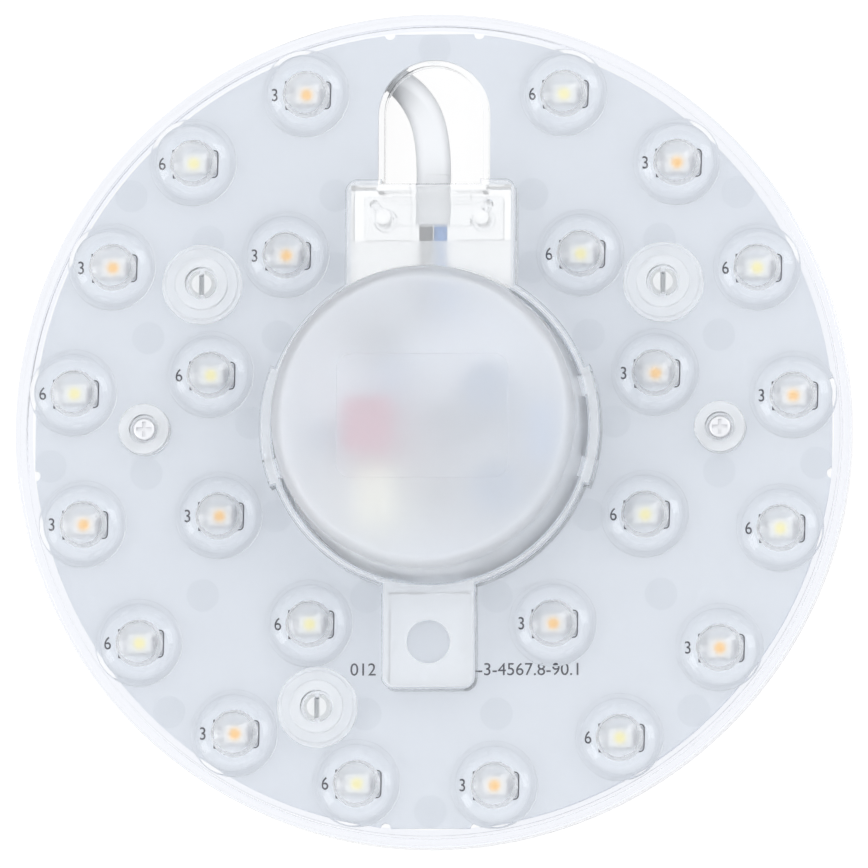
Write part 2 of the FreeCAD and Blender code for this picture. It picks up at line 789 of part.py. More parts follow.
def cable_route():
    """Points of the free cable, from the clamp to the connector.

    It drops through the slot, turns left behind the plate, passes inside the left
    magnet and goes round the driver tray.
    """
    rest = cable_width / 2 + 0.05
    drop = [(0.0, sheath_end, cable_level), (0.0, 43.4, cable_level), (-1.6, 49.6, 8.4),
            (-6.0, 54.7, 4.9), (-12.4, 57.3, 3.1)]
    back = [(-19.4, 56.3, rest), (-25.1, 52.0, rest), (-28.3, 45.4, rest), (-28.7, 38.0, rest),
            (-27.2, 30.4, rest), (-26.3, 22.4, rest), (-27.0, 14.2, rest)]
    points = [Vector(*p) for p in drop + back]
    wrap_radius, step = 29.8, 23.0
    for i in range(9):
        x, y = polar(wrap_radius, 171.0 + i * step)
        points.append(Vector(x, y, rest))
    return points


def make_cable():
    """The sheath in the clamp, the free run, and the connector at its end."""
    half_gap = (cable_width - cable_thickness) / 2
    end_round = cable_thickness / 2
    flat = block(-half_gap, half_gap, sheath_start, sheath_end, cable_level - end_round,
                 cable_level + end_round)
    sides = [Part.makeCylinder(end_round, sheath_end - sheath_start,
                               Vector(side * half_gap, sheath_start, cable_level), Vector(0, 1, 0))
             for side in (-1, 1)]
    sheath = join([flat] + sides)
    route = cable_route()
    run, radii, length = swept(route, cable_run_diameter)
    print("cable length", round(length, 2), "least bend radius", round(min(radii), 2))
    return sheath, run, route


def make_connector(route):
    """Two-way connector at the cable's end, lying in line with it."""
    end = route[-1]
    heading = (route[-1] - route[-2]).normalize()
    body = rounded_block(0, connector_length, -connector_width / 2, connector_width / 2,
                         -end.z, connector_height - end.z, 0.9)
    entries = [Part.makeCylinder(connector_entry / 2, 4.0,
                                 Vector(connector_length - 4.0, side * 1.9, 0.0), Vector(1, 0, 0))
               for side in (-1, 1)]
    body = body.cut(entries)
    body.rotate(Vector(0, 0, 0), Vector(0, 0, 1), math.degrees(math.atan2(heading.y, heading.x)))
    return at(body, end.x, end.y, end.z)


def make_lead(side):
    """One core: flat out of the sheath, then down to the driver board."""
    x0 = side * core_pitch / 2
    x1 = side * core_pitch
    points = [Vector(x0, sheath_start, cable_level),
              Vector(x0, sheath_start - core_length_flat, cable_level),
              Vector(x1, lead_landing(), cable_level - 0.3),
              Vector(x1, lead_landing(), driver_board_top - 0.6)]
    return swept(points, core_diameter)[0]


def build():
    """Every node of the module by name."""
    nodes = {
        "lens_plate": make_lens_plate(),
        "driver_cover": make_driver_cover(),
        "led_board": make_led_board(),
        "case_screws": make_case_screws(),
        "cable_clamp": make_cable_clamp(),
        "clamp_pins": make_clamp_pins(),
        "driver_tray": make_driver_tray(),
        "driver_board": make_driver_board(),
        "film_capacitor": make_film_capacitor(),
        "choke": make_choke(),
        "input_capacitor": make_can(*input_can),
        "output_capacitor": make_can(*output_can),
        "small_capacitor": make_can(*small_can),
        "varistor": make_varistor(),
        "bridge_rectifier": make_box_part(bridge_place, bridge_size, 0.3),
        "control_chip": make_box_part(chip_place, chip_size, 0.2),
        "drum_choke": make_drum_choke(),
        "safety_capacitor": make_box_part(safety_capacitor_place, safety_capacitor_size, 0.4),
        "link_header": make_link_header(),
        "link_pins": make_link_pins(),
        "lead_black": make_lead(-1),
        "lead_blue": make_lead(1),
    }
    sheath, run, route = make_cable()
    nodes["cable_sheath"] = sheath
    nodes["cable_run"] = run
    nodes["wire_connector"] = make_connector(route)
    for i, (x, y) in enumerate(magnet_places, start=1):
        nodes[f"magnet_post_{i}"] = make_magnet_post(x, y)
        nodes[f"magnet_cup_{i}"] = make_magnet_cup(x, y)
        nodes[f"magnet_{i}"] = make_magnet(x, y)
    warm, cool = led_places()
    for kind, places in (("warm", warm), ("cool", cool)):
        for i, (x, y) in enumerate(places, start=1):
            nodes[f"led_{kind}_{i:02d}"] = make_led(x, y)
    return nodes


def main():
    os.makedirs("parts", exist_ok=True)
    for name, shape in build().items():
        shape.exportStep(f"parts/{name}.step")


main()
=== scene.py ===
"""Looks of the magnetic LED ceiling module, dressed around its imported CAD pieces.

Shape functions work in millimetres, with +Z to the light side and +Y to the cable slot.
piece() turns them into metres. A surface is a pair: points of shape (n, 3) and a list of
face groups, each an array of corner numbers.
"""
import math

import bmesh
import bpy
import numpy as np
from mathutils import Matrix, Vector, geometry


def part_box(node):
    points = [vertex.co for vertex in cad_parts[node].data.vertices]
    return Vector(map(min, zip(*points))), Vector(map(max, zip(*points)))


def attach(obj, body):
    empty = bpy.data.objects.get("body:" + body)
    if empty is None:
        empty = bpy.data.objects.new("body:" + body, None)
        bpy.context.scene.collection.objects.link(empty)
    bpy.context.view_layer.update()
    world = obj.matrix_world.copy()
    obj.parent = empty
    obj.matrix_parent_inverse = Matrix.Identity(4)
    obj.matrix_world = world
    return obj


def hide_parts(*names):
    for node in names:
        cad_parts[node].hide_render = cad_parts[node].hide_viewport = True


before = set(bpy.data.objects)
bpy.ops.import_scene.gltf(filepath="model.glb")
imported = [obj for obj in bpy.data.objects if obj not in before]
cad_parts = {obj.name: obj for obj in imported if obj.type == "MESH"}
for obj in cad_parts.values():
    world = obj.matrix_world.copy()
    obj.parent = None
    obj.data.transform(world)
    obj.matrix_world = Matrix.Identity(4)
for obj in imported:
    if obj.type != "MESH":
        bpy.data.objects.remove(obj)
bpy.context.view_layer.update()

METRES = 0.001
# Clear faces that rest on another piece stop this much short of it
HAIR = 0.02


def corners(node):
    """Lowest and highest corner of a CAD node, in millimetres."""
    low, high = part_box(node)
    return np.array(low) / METRES, np.array(high) / METRES


def centre(node):
    """Middle of a CAD node's box, in millimetres."""
    low, high = corners(node)
    return (low + high) / 2


# Levels
board_top = corners("led_board")[1][2]
board_bottom = corners("led_board")[0][2]
plate_bottom = board_top + 0.3
plate_top = plate_bottom + 1.5
collar_top = corners("lens_plate")[1][2]
roof_bottom = collar_top - 1.2
skirt_bottom = corners("lens_plate")[0][2]
sleeve_bottom = 8.3

# Rim
outer_radius = corners("lens_plate")[1][0]
skirt_inner = outer_radius - 1.6
rim_line = skirt_inner - 0.2
board_edge = skirt_inner - 1.15
rim_drop, rim_step = 0.3, 0.3
rim_round = 0.8

# Lens
lens_foot, lens_edge = 6.7, 6.0
lens_foot_height = 0.6
lens_height = 3.6
pocket_radius, pocket_height, pocket_rise = 2.7, 3.1, 0.9

# Seats
seat_radii = [6.15, 5.5, 4.05]
seat_levels = [plate_top + 0.7, plate_top + 1.4, plate_top + 2.2]
seat_bore, seat_well, post_hole = 2.5, 1.9, 1.6
screw_seat, screw_well, screw_hole = 3.9, 2.25, 1.3
screw_seat_top = plate_top + 1.7

# Collar, housing, tab and slot
centre_hole = 24.1
collar_radius = 25.3
bulge_radius, bulge_angle = 26.1, 21.0
window_angle, window_half = 15.0, 3.7
window_bottom, window_top = 12.6, 14.5
housing_half, housing_end, housing_wall, housing_corner = 13.1, 37.9, 0.9, 2.0
housing_front = housing_end - 0.7
inner_half, inner_end = housing_half - housing_wall, housing_end - housing_wall
inner_front = housing_front - housing_wall
tab_half, tab_end, tab_wall, tab_corner = 7.2, -40.2, 1.0, 2.0
slot_half, slot_round = 7.55, 48.4
sleeve_half = slot_half + 0.85
gate_half, gate_top = 3.5, 11.9
rib_places, rib_half, rib_thickness = (34.7, 30.9), 6.0, 1.0
panel_end, panel_bottom = 28.4, roof_bottom - 0.3
dimple_place, dimple_radius, dimple_slope, dimple_floor = -33.0, 3.3, 0.4, collar_top - 0.35
edge_round = 0.3

# Clamp bar under the cable
clamp_half, clamp_start, clamp_end, clamp_corner = 10.65, 29.2, 35.9, 0.3
clamp_low, clamp_floor, clamp_wing = 7.0, 8.6, 9.9
clamp_rib_half, clamp_rib_length, clamp_rib_height = 8.0, 0.9, 0.7
pin_x, pin_y, pin_hole = 7.5, 32.4, 1.3

# Driver cover
cover_foot, cover_taper, cover_round, cover_wall = 23.8, 0.7, 2.0, 1.3
cable_gap_angle, cable_gap_top, tongue_gap_angle, tongue_gap_top = 10.5, 12.3, 15.0, 9.8
label_half_x, label_half_y, label_corner, label_depth = 13.0, 9.4, 2.2, 0.2
hook_half, hook_height, hook_reach, hook_top = 1.6, 1.2, 1.0, 13.9

# Ejector marks under the plate, on the right half and on the middle line; the left half mirrors them
ejector_radius, ejector_depth, ejector_slope = 2.5, 0.05, 0.35
EJECTOR_RIGHT = [(46.5, 36.2), (43.7, 14.3), (43.8, -6.6), (34.6, 29.1), (23.8, 14.4), (23.9, -13.2),
                 (35.0, -25.3), (9.9, -25.6), (40.0, -43.1), (10.0, -43.5), (15.1, 36.1), (15.1, 24.9),
                 (27.8, 1.1), (58.6, -5.4)]
EJECTOR_MIDDLE = [(0.0, 58.7), (0.0, -58.4)]

led_names = [name for name in sorted(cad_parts) if name.startswith(("led_warm", "led_cool"))]
leds = {name: centre(name) for name in led_names}
magnets = [centre(f"magnet_{i}") for i in (1, 2, 3)]
screw_x = corners("case_screws")[1][0] - 1.75
cover_top = corners("driver_cover")[1][2]


# Curves in plan

def arc(x, y, radius, start, end, count):
    """Points (x + r cos a, y + r sin a) for angles a evenly from start to end, in degrees."""
    angle = np.radians(np.linspace(start, end, count))
    return np.stack([x + radius * np.cos(angle), y + radius * np.sin(angle)], 1)


def circle(radius, count, x=0.0, y=0.0):
    """Closed loop of evenly spaced points on a circle, counter-clockwise."""
    return arc(x, y, radius, 0, 360, count + 1)[:-1]


def line(start, end, count):
    """Evenly spaced points from start to end."""
    return np.linspace(start, end, count)


def chain(*curves):
    """Curves end to end, with a point that repeats its neighbour left out."""
    points = np.vstack(curves)
    step = np.linalg.norm(np.diff(points, axis=0), axis=1)
    return points[np.concatenate([[True], step > 1e-6])]


def both_sides(right):
    """Closed loop of a right-hand half curve, from its foot up to its head on x = 0, and its mirror image."""
    left = right[::-1] * (-1, 1)
    return np.vstack([right, left[1:-1]])


def rounded_rectangle(half_x, half_y, radius, steps=6, x=0.0, y=0.0):
    """Closed loop of a rectangle whose corners are quarter circles."""
    cx, cy = half_x - radius, half_y - radius
    return chain(*[arc(x + sx * cx, y + sy * cy, radius, start, start + 90, steps)
                   for sx, sy, start in ((1, -1, -90), (1, 1, 0), (-1, 1, 90), (-1, -1, 180))])


# Profiles

def softened(profile, radius, steps=3):
    """Profile whose inner corners are parabolas (1-t)^2 S + 2t(1-t) B + t^2 E.

    S and E lie on the corner's two sides, at radius * tan(turn / 2) from it, or at 45% of
    a shorter side.
    """
    profile = np.asarray(profile, float)
    before, corner, after = profile[:-2], profile[1:-1], profile[2:]
    back, on = before - corner, after - corner
    back_length = np.linalg.norm(back, axis=1, keepdims=True)
    on_length = np.linalg.norm(on, axis=1, keepdims=True)
    back, on = back / back_length, on / on_length
    cosine = np.clip(-np.sum(back * on, 1, keepdims=True), -0.999, 1)
    setback = radius * np.sqrt((1 - cosine) / (1 + cosine))
    setback = np.minimum(setback, 0.45 * np.minimum(back_length, on_length))
    t = np.linspace(0, 1, steps + 1)[None, :, None]
    start, end = corner + back * setback, corner + on * setback
    bends = (1 - t) ** 2 * start[:, None] + 2 * t * (1 - t) * corner[:, None] + t ** 2 * end[:, None]
    return chain(profile[:1], bends.reshape(-1, 2), profile[-1:])


def quarter(radius, height, start, end, middle, count):
    """Profile points on an arc about (middle, height)."""
    angle = np.radians(np.linspace(start, end, count))
    return np.stack([middle + radius * np.cos(angle), height + radius * np.sin(angle)], 1)


# Surfaces

def outward(loop, closed=True):
    """Offset directions of a loop: the sum of two neighbouring edge normals over 1 + their product,
    so that an offset keeps its width round a corner."""
    edge = np.roll(loop, -1, 0) - loop
    if not closed:
        edge[-1] = edge[-2]
    edge = edge / np.linalg.norm(edge, axis=1, keepdims=True)
    normal = np.stack([edge[:, 1], -edge[:, 0]], 1)
    last = np.roll(normal, 1, 0)
    if not closed:
        last[0] = normal[0]
    return (normal + last) / (1 + np.sum(normal * last, 1, keepdims=True))


def grid(points, closed=True, keep=None):
    """Quads over a grid of points of shape (rows, columns, 3); keep says which cells stay."""
    rows, columns = points.shape[:2]
    index = np.arange(rows * columns).reshape(rows, columns)
    if closed:
        index = np.hstack([index, index[:, :1]])
    quads = np.stack([index[:-1, :-1], index[:-1, 1:], index[1:, 1:], index[1:, :-1]], -1).reshape(-1, 4)
    flat_points = points.reshape(-1, 3)
    if keep is not None:
        middle = flat_points[quads].mean(1)
        quads = quads[keep(*middle.T)]
    return flat_points, [quads]


def wall(loop, profile, closed=True, keep=None):
    """Profile of (offset, height) carried along a loop: P(i, k) = loop_i + offset_k * outward_i at height_k.

    On a counter-clockwise loop a rising profile faces outwards and an inward one faces up.
    """
    offset, height = np.asarray(profile, float).T
    plan = loop[None] + offset[:, None, None] * outward(loop, closed)[None]
    level = np.broadcast_to(height[:, None], plan.shape[:2])
    return grid(np.dstack([plan, level]), closed, keep)


def lathe(profile, count, x=0.0, y=0.0, keep=None):
    """Profile of (radius, height) turned about the upright axis at (x, y)."""
    radius, height = np.asarray(profile, float).T
    angle = np.arange(count) * 2 * np.pi / count
    points = np.empty((len(radius), count, 3))
    points[..., 0] = x + radius[:, None] * np.cos(angle)
    points[..., 1] = y + radius[:, None] * np.sin(angle)
    points[..., 2] = height[:, None]
    return grid(points, True, keep)


def ruled(first, second):
    """Strip P(t, i) = (1 - t) first_i + t second_i between two curves of as many points."""
    return grid(np.stack([first, second]), False)


def flat(loops, height, up=True, seam=()):
    """Level face between closed loops, inside an odd number of them, cut into triangles.

    A seam is a further loop that triangles don't cross.
    """
    points = np.vstack([*loops, *seam])
    count = [len(loop) for loop in [*loops, *seam]]
    first = np.concatenate([[0], np.cumsum(count)[:-1]])
    here = np.arange(len(points))
    following = here + 1
    following[first + np.array(count) - 1] = first
    ends = np.stack([here, following], 1)
    found = geometry.delaunay_2d_cdt(points.tolist(), ends.tolist(), [], 1, 1e-6)
    plan, triangles = np.array(found[0]), np.array(found[2])
    middle = plan[triangles].mean(1)
    inside = np.zeros(len(middle), bool)
    for loop in loops:
        a, b = loop, np.roll(loop, -1, 0)
        spans = (a[None, :, 1] > middle[:, 1:]) != (b[None, :, 1] > middle[:, 1:])
        rise = np.where(a[:, 1] == b[:, 1], 1.0, b[:, 1] - a[:, 1])
        crossing = a[:, 0] + (middle[:, 1:] - a[:, 1]) * (b[:, 0] - a[:, 0]) / rise
        inside ^= (np.sum(spans & (crossing > middle[:, :1]), 1) % 2).astype(bool)
    triangles = triangles[inside]
    a, b, c = plan[triangles].transpose(1, 0, 2)
    turn = (b[:, 0] - a[:, 0]) * (c[:, 1] - a[:, 1]) - (b[:, 1] - a[:, 1]) * (c[:, 0] - a[:, 0])
    wrong = (turn > 0) != up
    triangles[wrong] = triangles[wrong][:, ::-1]
    return np.column_stack([plan, np.full(len(plan), height)]), [triangles]


def parted(surface, radius):
    """Surface in two: its faces nearer to the centre than a radius, and the rest."""
    points, groups = surface
    near = [np.linalg.norm(points[faces].mean(1)[:, :2], axis=1) < radius for faces in groups]
    return ((points, [faces[n] for faces, n in zip(groups, near)]),
            (points, [faces[~n] for faces, n in zip(groups, near)]))


def level(curve, height):
    """Plan curve lifted to a height."""
    return np.column_stack([curve, np.full(len(curve), height)])


def joined(*surfaces):
    """Several surfaces as one."""
    points, groups, shift = [], [], 0
    for p, g in surfaces:
        points.append(p)
        groups += [faces + shift for faces in g]
        shift += len(p)
    return np.vstack(points), groups


def moved(surface, x=0.0, y=0.0, z=0.0):
    """Surface shifted to a place."""
    return surface[0] + (x, y, z), surface[1]


def placed(name, data):
    """New object in the scene."""
    obj = bpy.data.objects.new(name, data)
    bpy.context.scene.collection.objects.link(obj)
    return obj


def mesh_of(curve):
    """Mesh of a curve or text, and its points in millimetres."""
    obj = placed(curve.name, curve)
    mesh = bpy.data.meshes.new_from_object(obj)
    bpy.data.objects.remove(obj)
    points = np.empty(len(mesh.vertices) * 3)
    mesh.vertices.foreach_get("co", points)
    return mesh, points.reshape(-1, 3) / METRES


def piece(name, parts, replaced=(), sharp=35.0):
    """Object on the root body from (surface, material) pairs: merged, shaded smooth below the sharp angle."""
    mesh = bpy.data.meshes.new(name)
    everything = joined(*[surface for surface, _ in parts])
    faces, numbers = [], []
    for i, (surface, material) in enumerate(parts):
        mesh.materials.append(material)
        numbers += [i] * sum(len(g) for g in surface[1])
    for group in everything[1]:
        faces += group.tolist()
    mesh.from_pydata((everything[0] * METRES).tolist(), [], faces)
    mesh.polygons.foreach_set("material_index", np.array(numbers, np.int32))
    merge = bmesh.new()
    merge.from_mesh(mesh)
    bmesh.ops.remove_doubles(merge, verts=merge.verts, dist=1e-7)
    bmesh.ops.dissolve_degenerate(merge, edges=merge.edges, dist=1e-7)
    merge.to_mesh(mesh)
    merge.free()
    mesh.shade_smooth()
    mesh.set_sharp_from_angle(angle=math.radians(sharp))
    obj = placed(name, mesh)
    even = obj.modifiers.new("even_shading", "WEIGHTED_NORMAL")
    even.keep_sharp = True
    even.weight = 80
    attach(obj, "root")
    if replaced:
        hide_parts(*replaced)
    return obj


# Outlines of the plate's middle, each a right-hand half from its foot to its head

def front_of(angle_from, angle_to, radius):
    """Arc about the centre with a point each degree or so."""
    count = max(2, int(abs(angle_to - angle_from) / 1.5) + 1)
    return arc(0, 0, radius, angle_from, angle_to, count)


def side_angle(half, radius):
    """Degrees at which an upright line x = half meets a circle, in the upper right."""
    return math.degrees(math.acos(half / radius))


WINDOW_EDGES = [-window_angle - window_half, -window_angle + window_half,
                window_angle - window_half, window_angle + window_half]


def right_side(radius, low_angle, high_angle, middle_radius=None):
    """Right-hand arc of collar or hole with points at the bulge's ends and the windows' edges."""
    middle_radius = middle_radius or radius
    stops = [-bulge_angle] + WINDOW_EDGES + [bulge_angle]
    curves = [front_of(low_angle, -bulge_angle, radius)]
    curves += [front_of(a, b, middle_radius) for a, b in zip(stops[:-1], stops[1:])]
    curves.append(front_of(bulge_angle, high_angle, radius))
    return chain(*curves)


def plate_outlines():
    """Closed outlines of the plate's middle: turret, its mouth in the top face, the slot, the housing's
    hollow, its mouth in the under face, the slot's sleeve, and the tab's hollow."""
    tab = chain(line((0, tab_end), (tab_half - tab_corner, tab_end), 4),
                arc(tab_half - tab_corner, tab_end + tab_corner, tab_corner, -90, 0, 8))
    collar = right_side(collar_radius, -side_angle(tab_half, collar_radius),
                        side_angle(housing_half, collar_radius), bulge_radius)
    shoulder = chain(collar, arc(housing_half - housing_corner, housing_end - housing_corner,
                                 housing_corner, 0, 90, 8), [(slot_half, housing_end)])
    front = [(slot_half, housing_front), (gate_half, housing_front), (0, housing_front)]
    slot = chain(line((slot_half, housing_end), (slot_half, slot_round), 6),
                 arc(0, slot_round, slot_half, 0, 90, 24))
    turret = both_sides(chain(tab, shoulder, front))
    mouth = both_sides(chain(tab, shoulder, slot))
    opening = both_sides(chain(front[::-1], slot))

    hole = right_side(centre_hole, -90, side_angle(inner_half, centre_hole))
    low_part = chain(hole, [(inner_half, panel_end), (inner_half, inner_end), (sleeve_half, inner_end)])
    sleeve = chain([(sleeve_half, inner_end)], line((sleeve_half, housing_end), (sleeve_half, slot_round), 6),
                   arc(0, slot_round, sleeve_half, 0, 90, 24))
    inner = [(sleeve_half, inner_front), (gate_half, inner_front), (0, inner_front)]
    hollow = both_sides(chain(low_part, inner))
    hollow_mouth = both_sides(chain(low_part, sleeve))
    sleeve_loop = both_sides(chain(inner[::-1], sleeve))
    tab_hollow = rounded_rectangle(tab_half - tab_wall, (-collar_radius - tab_end - tab_wall) / 2, 0.3, 4,
                                   0, (tab_end + tab_wall - collar_radius) / 2)
    return turret, mouth, opening, hollow, hollow_mouth, sleeve_loop, tab_hollow


def in_window(x, y, z):
    """True in the four openings for the cover's hooks."""
    angle = np.degrees(np.arctan2(y, np.abs(x)))
    beside = np.abs(np.abs(angle) - window_angle) < window_half
    return beside & (z > window_bottom) & (z < window_top)


def turret_walls(turret, opening, hollow, sleeve_loop):
    """Upright walls of collar, housing, tab, slot and sleeve, with gate and windows left open."""
    def in_gate(x, z):
        return (np.abs(x) < gate_half) & (z < gate_top)

    near = 0.01
    top = softened([(0, window_top), (0, collar_top), (-1, collar_top)], edge_round)[1:-1]
    rows = [(0, sleeve_bottom), (0, plate_top), (0, gate_top), (0, window_bottom), (0, window_top)]
    outside = wall(turret, np.vstack([rows, top]), keep=lambda x, y, z: (
        ((z > plate_top) | ((y > housing_front - near) & (np.abs(x) < slot_half + near)))
        & ~((y > housing_front - near) & in_gate(x, z)) & ~in_window(x, y, z)))
    slot = wall(opening, [(0, plate_top), (0, sleeve_bottom)], keep=lambda x, y, z: y > housing_end + near)
    sleeve = wall(sleeve_loop, [(0, sleeve_bottom), (0, plate_bottom)],
                  keep=lambda x, y, z: y > inner_end + near)
    radius = centre_hole + near
    heights = [roof_bottom, panel_bottom, gate_top, plate_bottom, sleeve_bottom]
    inside = wall(hollow, [(0, height) for height in heights], keep=lambda x, y, z: (
        (x ** 2 + y ** 2 > radius ** 2) & ((z < panel_bottom) | (y > panel_end))
        & ((z > plate_bottom) | ((y > inner_front - near) & (np.abs(x) < sleeve_half + near)))
        & ~((y > inner_front - near) & in_gate(x, z))))
    return [outside, slot, sleeve, inside]


def hole_loop():
    """The centre hole as a whole loop, with points where the housing's hollow meets it."""
    meets = side_angle(inner_half, centre_hole)
    return both_sides(chain(right_side(centre_hole, -90, meets), front_of(meets, 90, centre_hole)))


def low_dome(radius, rise, height, count):
    """Profile from the rim of a low spherical cap up to its top, with rise above a height.

    The sphere's radius is (radius^2 + rise^2) / (2 rise).
    """
    ball = (radius ** 2 + rise ** 2) / (2 * rise)
    return quarter(ball, height + rise - ball, math.degrees(math.acos(radius / ball)), 90, 0, count)


def lens_surface():
    """Outside of one lens at the origin: foot and spherical cap."""
    base = plate_top + lens_foot_height
    foot = softened([(lens_foot, plate_top), (lens_foot, base), (lens_edge + 0.05, base)], 0.3, 4)
    return lathe(np.vstack([foot, low_dome(lens_edge, lens_height, base, 16)]), 84)


def pocket_surface():
    """Pocket over one LED at the origin, from its low dome down to the plate's under face."""
    spring = plate_bottom + pocket_height - pocket_rise
    dome = low_dome(pocket_radius - 0.15, pocket_rise, spring, 8)[::-1]
    side = softened([dome[-1], (pocket_radius - 0.05, spring - 0.1), (pocket_radius, plate_bottom)], 0.1)
    return lathe(chain(dome, side), 64)


def magnet_seat_surface():
    """Stepped ring on the plate, its well and post hole, and its foot under the plate."""
    outline = [(seat_radii[0], plate_top)]
    for radius, height in zip(seat_radii, seat_levels):
        outline += [(radius, outline[-1][1]), (radius, height)]
    well_floor = seat_levels[-1] - seat_well
    outline += [(seat_bore, seat_levels[-1]), (seat_bore, well_floor - HAIR), (post_hole, well_floor - HAIR),
                (post_hole, board_top + HAIR), (seat_radii[-1], board_top + HAIR),
                (seat_radii[-1], plate_bottom)]
    return lathe(softened(chain(outline), 0.18), 72)


def screw_seat_surface():
    """Screw boss with its well and hole, and its foot under the plate."""
    outline = [(screw_seat, plate_top), (screw_seat, screw_seat_top), (screw_well, screw_seat_top),
               (screw_well, plate_top - HAIR), (screw_hole, plate_top - HAIR), (screw_hole, board_top + HAIR),
               (screw_seat, board_top + HAIR), (screw_seat, plate_bottom)]
    return lathe(softened(outline, 0.25), 64)


def rim_surface():
    """Skirt and rounded rim as one turned profile, from the under face round to the fine step."""
    rim_top = plate_top - rim_drop
    skirt = softened([(skirt_inner, plate_bottom), (skirt_inner, skirt_bottom), (outer_radius, skirt_bottom),
                      (outer_radius, rim_top - rim_round)], 0.15)
    shoulder = quarter(rim_round, rim_top - rim_round, 0, 90, outer_radius - rim_round, 9)
    step = softened([shoulder[-1], (rim_line, rim_top), (rim_line, plate_top),
                     (rim_line - rim_step, plate_top)], 0.04)
    return lathe(chain(skirt, shoulder, step), 360), step[-1][0]


def make_lens_plate(clear, deep, thick, satin, hazy, textured):
    """The clear moulding over the whole light side, as one closed surface.

    The rim outside the board has a darker, bluer finish than the rest of the plate: painted shade for the
    skirt's inner wall and the shadowed floor under the board seen through it. The seats and the turret's top
    are thick and a little milky. The pockets over the LEDs have a satin face, the ejector marks a hazy one,
    and the roof's panel is textured.
    """
    turret, mouth, opening, hollow, hollow_mouth, sleeve_loop, tab_hollow = plate_outlines()
    rim, rim_inner = rim_surface()
    parts = turret_walls(turret, opening, hollow, sleeve_loop)
    raised, pockets, marks, rough = [], [], [], []
    top_loops = [circle(rim_inner, 360), mouth]
    under_loops = [circle(skirt_inner, 360), hollow_mouth, tab_hollow]
    lens, pocket, seat, screw = lens_surface(), pocket_surface(), magnet_seat_surface(), screw_seat_surface()
    for x, y, _ in leds.values():
        parts.append(moved(lens, x, y))
        pockets.append(moved(pocket, x, y))
        top_loops.append(circle(lens_foot, 84, x, y))
        under_loops.append(circle(pocket_radius, 64, x, y))
    seats = [(seat, x, y, seat_radii[0], seat_radii[-1], 72) for x, y, _ in magnets]
    seats += [(screw, x, 0, screw_seat, screw_seat, 64) for x in (-screw_x, screw_x)]
    for surface, x, y, top_radius, foot_radius, count in seats:
        raised.append(moved(surface, x, y))
        top_loops.append(circle(top_radius, count, x, y))
        under_loops.append(circle(foot_radius, count, x, y))
    mark_roof = plate_bottom + ejector_depth
    mark = lathe([(0, mark_roof), (ejector_radius - ejector_slope, mark_roof),
                  (ejector_radius, plate_bottom)], 48)
    for x, y in EJECTOR_RIGHT + [(-x, y) for x, y in EJECTOR_RIGHT] + EJECTOR_MIDDLE:
        marks.append(moved(mark, x, y))
        under_loops.append(circle(ejector_radius, 48, x, y))
    seam = [circle(board_edge, 240)]
    # Top and under faces outside the board's edge take the rim's painted-shade finish
    top, top_edge = parted(flat(top_loops, plate_top, seam=seam), board_edge - 0.02)
    under, under_edge = parted(flat(under_loops, plate_bottom, up=False, seam=seam), board_edge - 0.02)
    parts += [top, under]

    # Turret top with the centre hole and the gate dimple
    hole = hole_loop()
    inset = turret - edge_round * outward(turret)
    raised.append(flat([inset, hole + edge_round * outward(hole), circle(dimple_radius, 48, 0, dimple_place)],
                       collar_top))
    dimple = softened([(dimple_radius, collar_top), (dimple_radius - dimple_slope, dimple_floor),
                       (0, dimple_floor)], 0.3)
    marks.append(lathe(dimple, 48, 0, dimple_place))
    bore = softened([(1, collar_top), (0, collar_top), (0, window_top)], edge_round)[1:-1]
    rows = [(0, window_top), (0, roof_bottom), (0, panel_bottom), (0, window_bottom), (0, plate_bottom)]
    parts.append(wall(hole, np.vstack([bore, rows]), keep=lambda x, y, z: (
        ((z > panel_bottom) | (y < 0) | (np.abs(x) > inner_half)) & ~in_window(x, y, z))))

    # Housing roof: the panel next to the centre hole, the roof beyond it, and the ribs over the cable
    round_part = hole[(hole[:, 1] > 0) & (np.abs(hole[:, 0]) < inner_half + 1e-6)]
    edge = np.array([(inner_half, panel_end), (-inner_half, panel_end)])
    rough.append(flat([chain(round_part, edge[::-1])], panel_bottom, up=False))
    rough.append(ruled(level(edge, panel_bottom), level(edge, roof_bottom)))
    front = np.array([(inner_half, inner_end), (sleeve_half, inner_end), (sleeve_half, inner_front),
                      (gate_half, inner_front), (0, inner_front), (-gate_half, inner_front),
                      (-sleeve_half, inner_front), (-sleeve_half, inner_end), (-inner_half, inner_end)])
    ribs = [np.array([(-rib_half, y), (rib_half, y), (rib_half, y + rib_thickness),
                      (-rib_half, y + rib_thickness)]) for y in rib_places]
    parts.append(flat([chain(front, edge[::-1])] + ribs, roof_bottom, up=False))
    for rib in ribs:
        parts += [wall(rib, [(0, gate_top), (0, roof_bottom)]), flat([rib], gate_top, up=False)]
    parts += [wall(tab_hollow, [(0, roof_bottom), (0, plate_bottom)]),
              flat([tab_hollow], roof_bottom, up=False)]

    # Foot of the sleeve, and the gate's two jambs and lintel
    right = sleeve_loop[1:len(sleeve_loop) // 2 + 1]
    slot_right = opening[1:len(opening) // 2 + 1]
    half = np.vstack([right, slot_right[::-1]])
    for side in (1, -1):
        parts.append(flat([half * (side, 1)], sleeve_bottom, up=False))
        jamb = np.array([(side * gate_half, inner_front), (side * gate_half, housing_front)])[::side]
        parts.append(ruled(level(jamb, gate_top), level(jamb, sleeve_bottom)))
    lintel = np.array([(-gate_half, inner_front), (0, inner_front), (gate_half, inner_front)])
    parts.append(ruled(level(lintel + (0, housing_wall), gate_top), level(lintel, gate_top)))

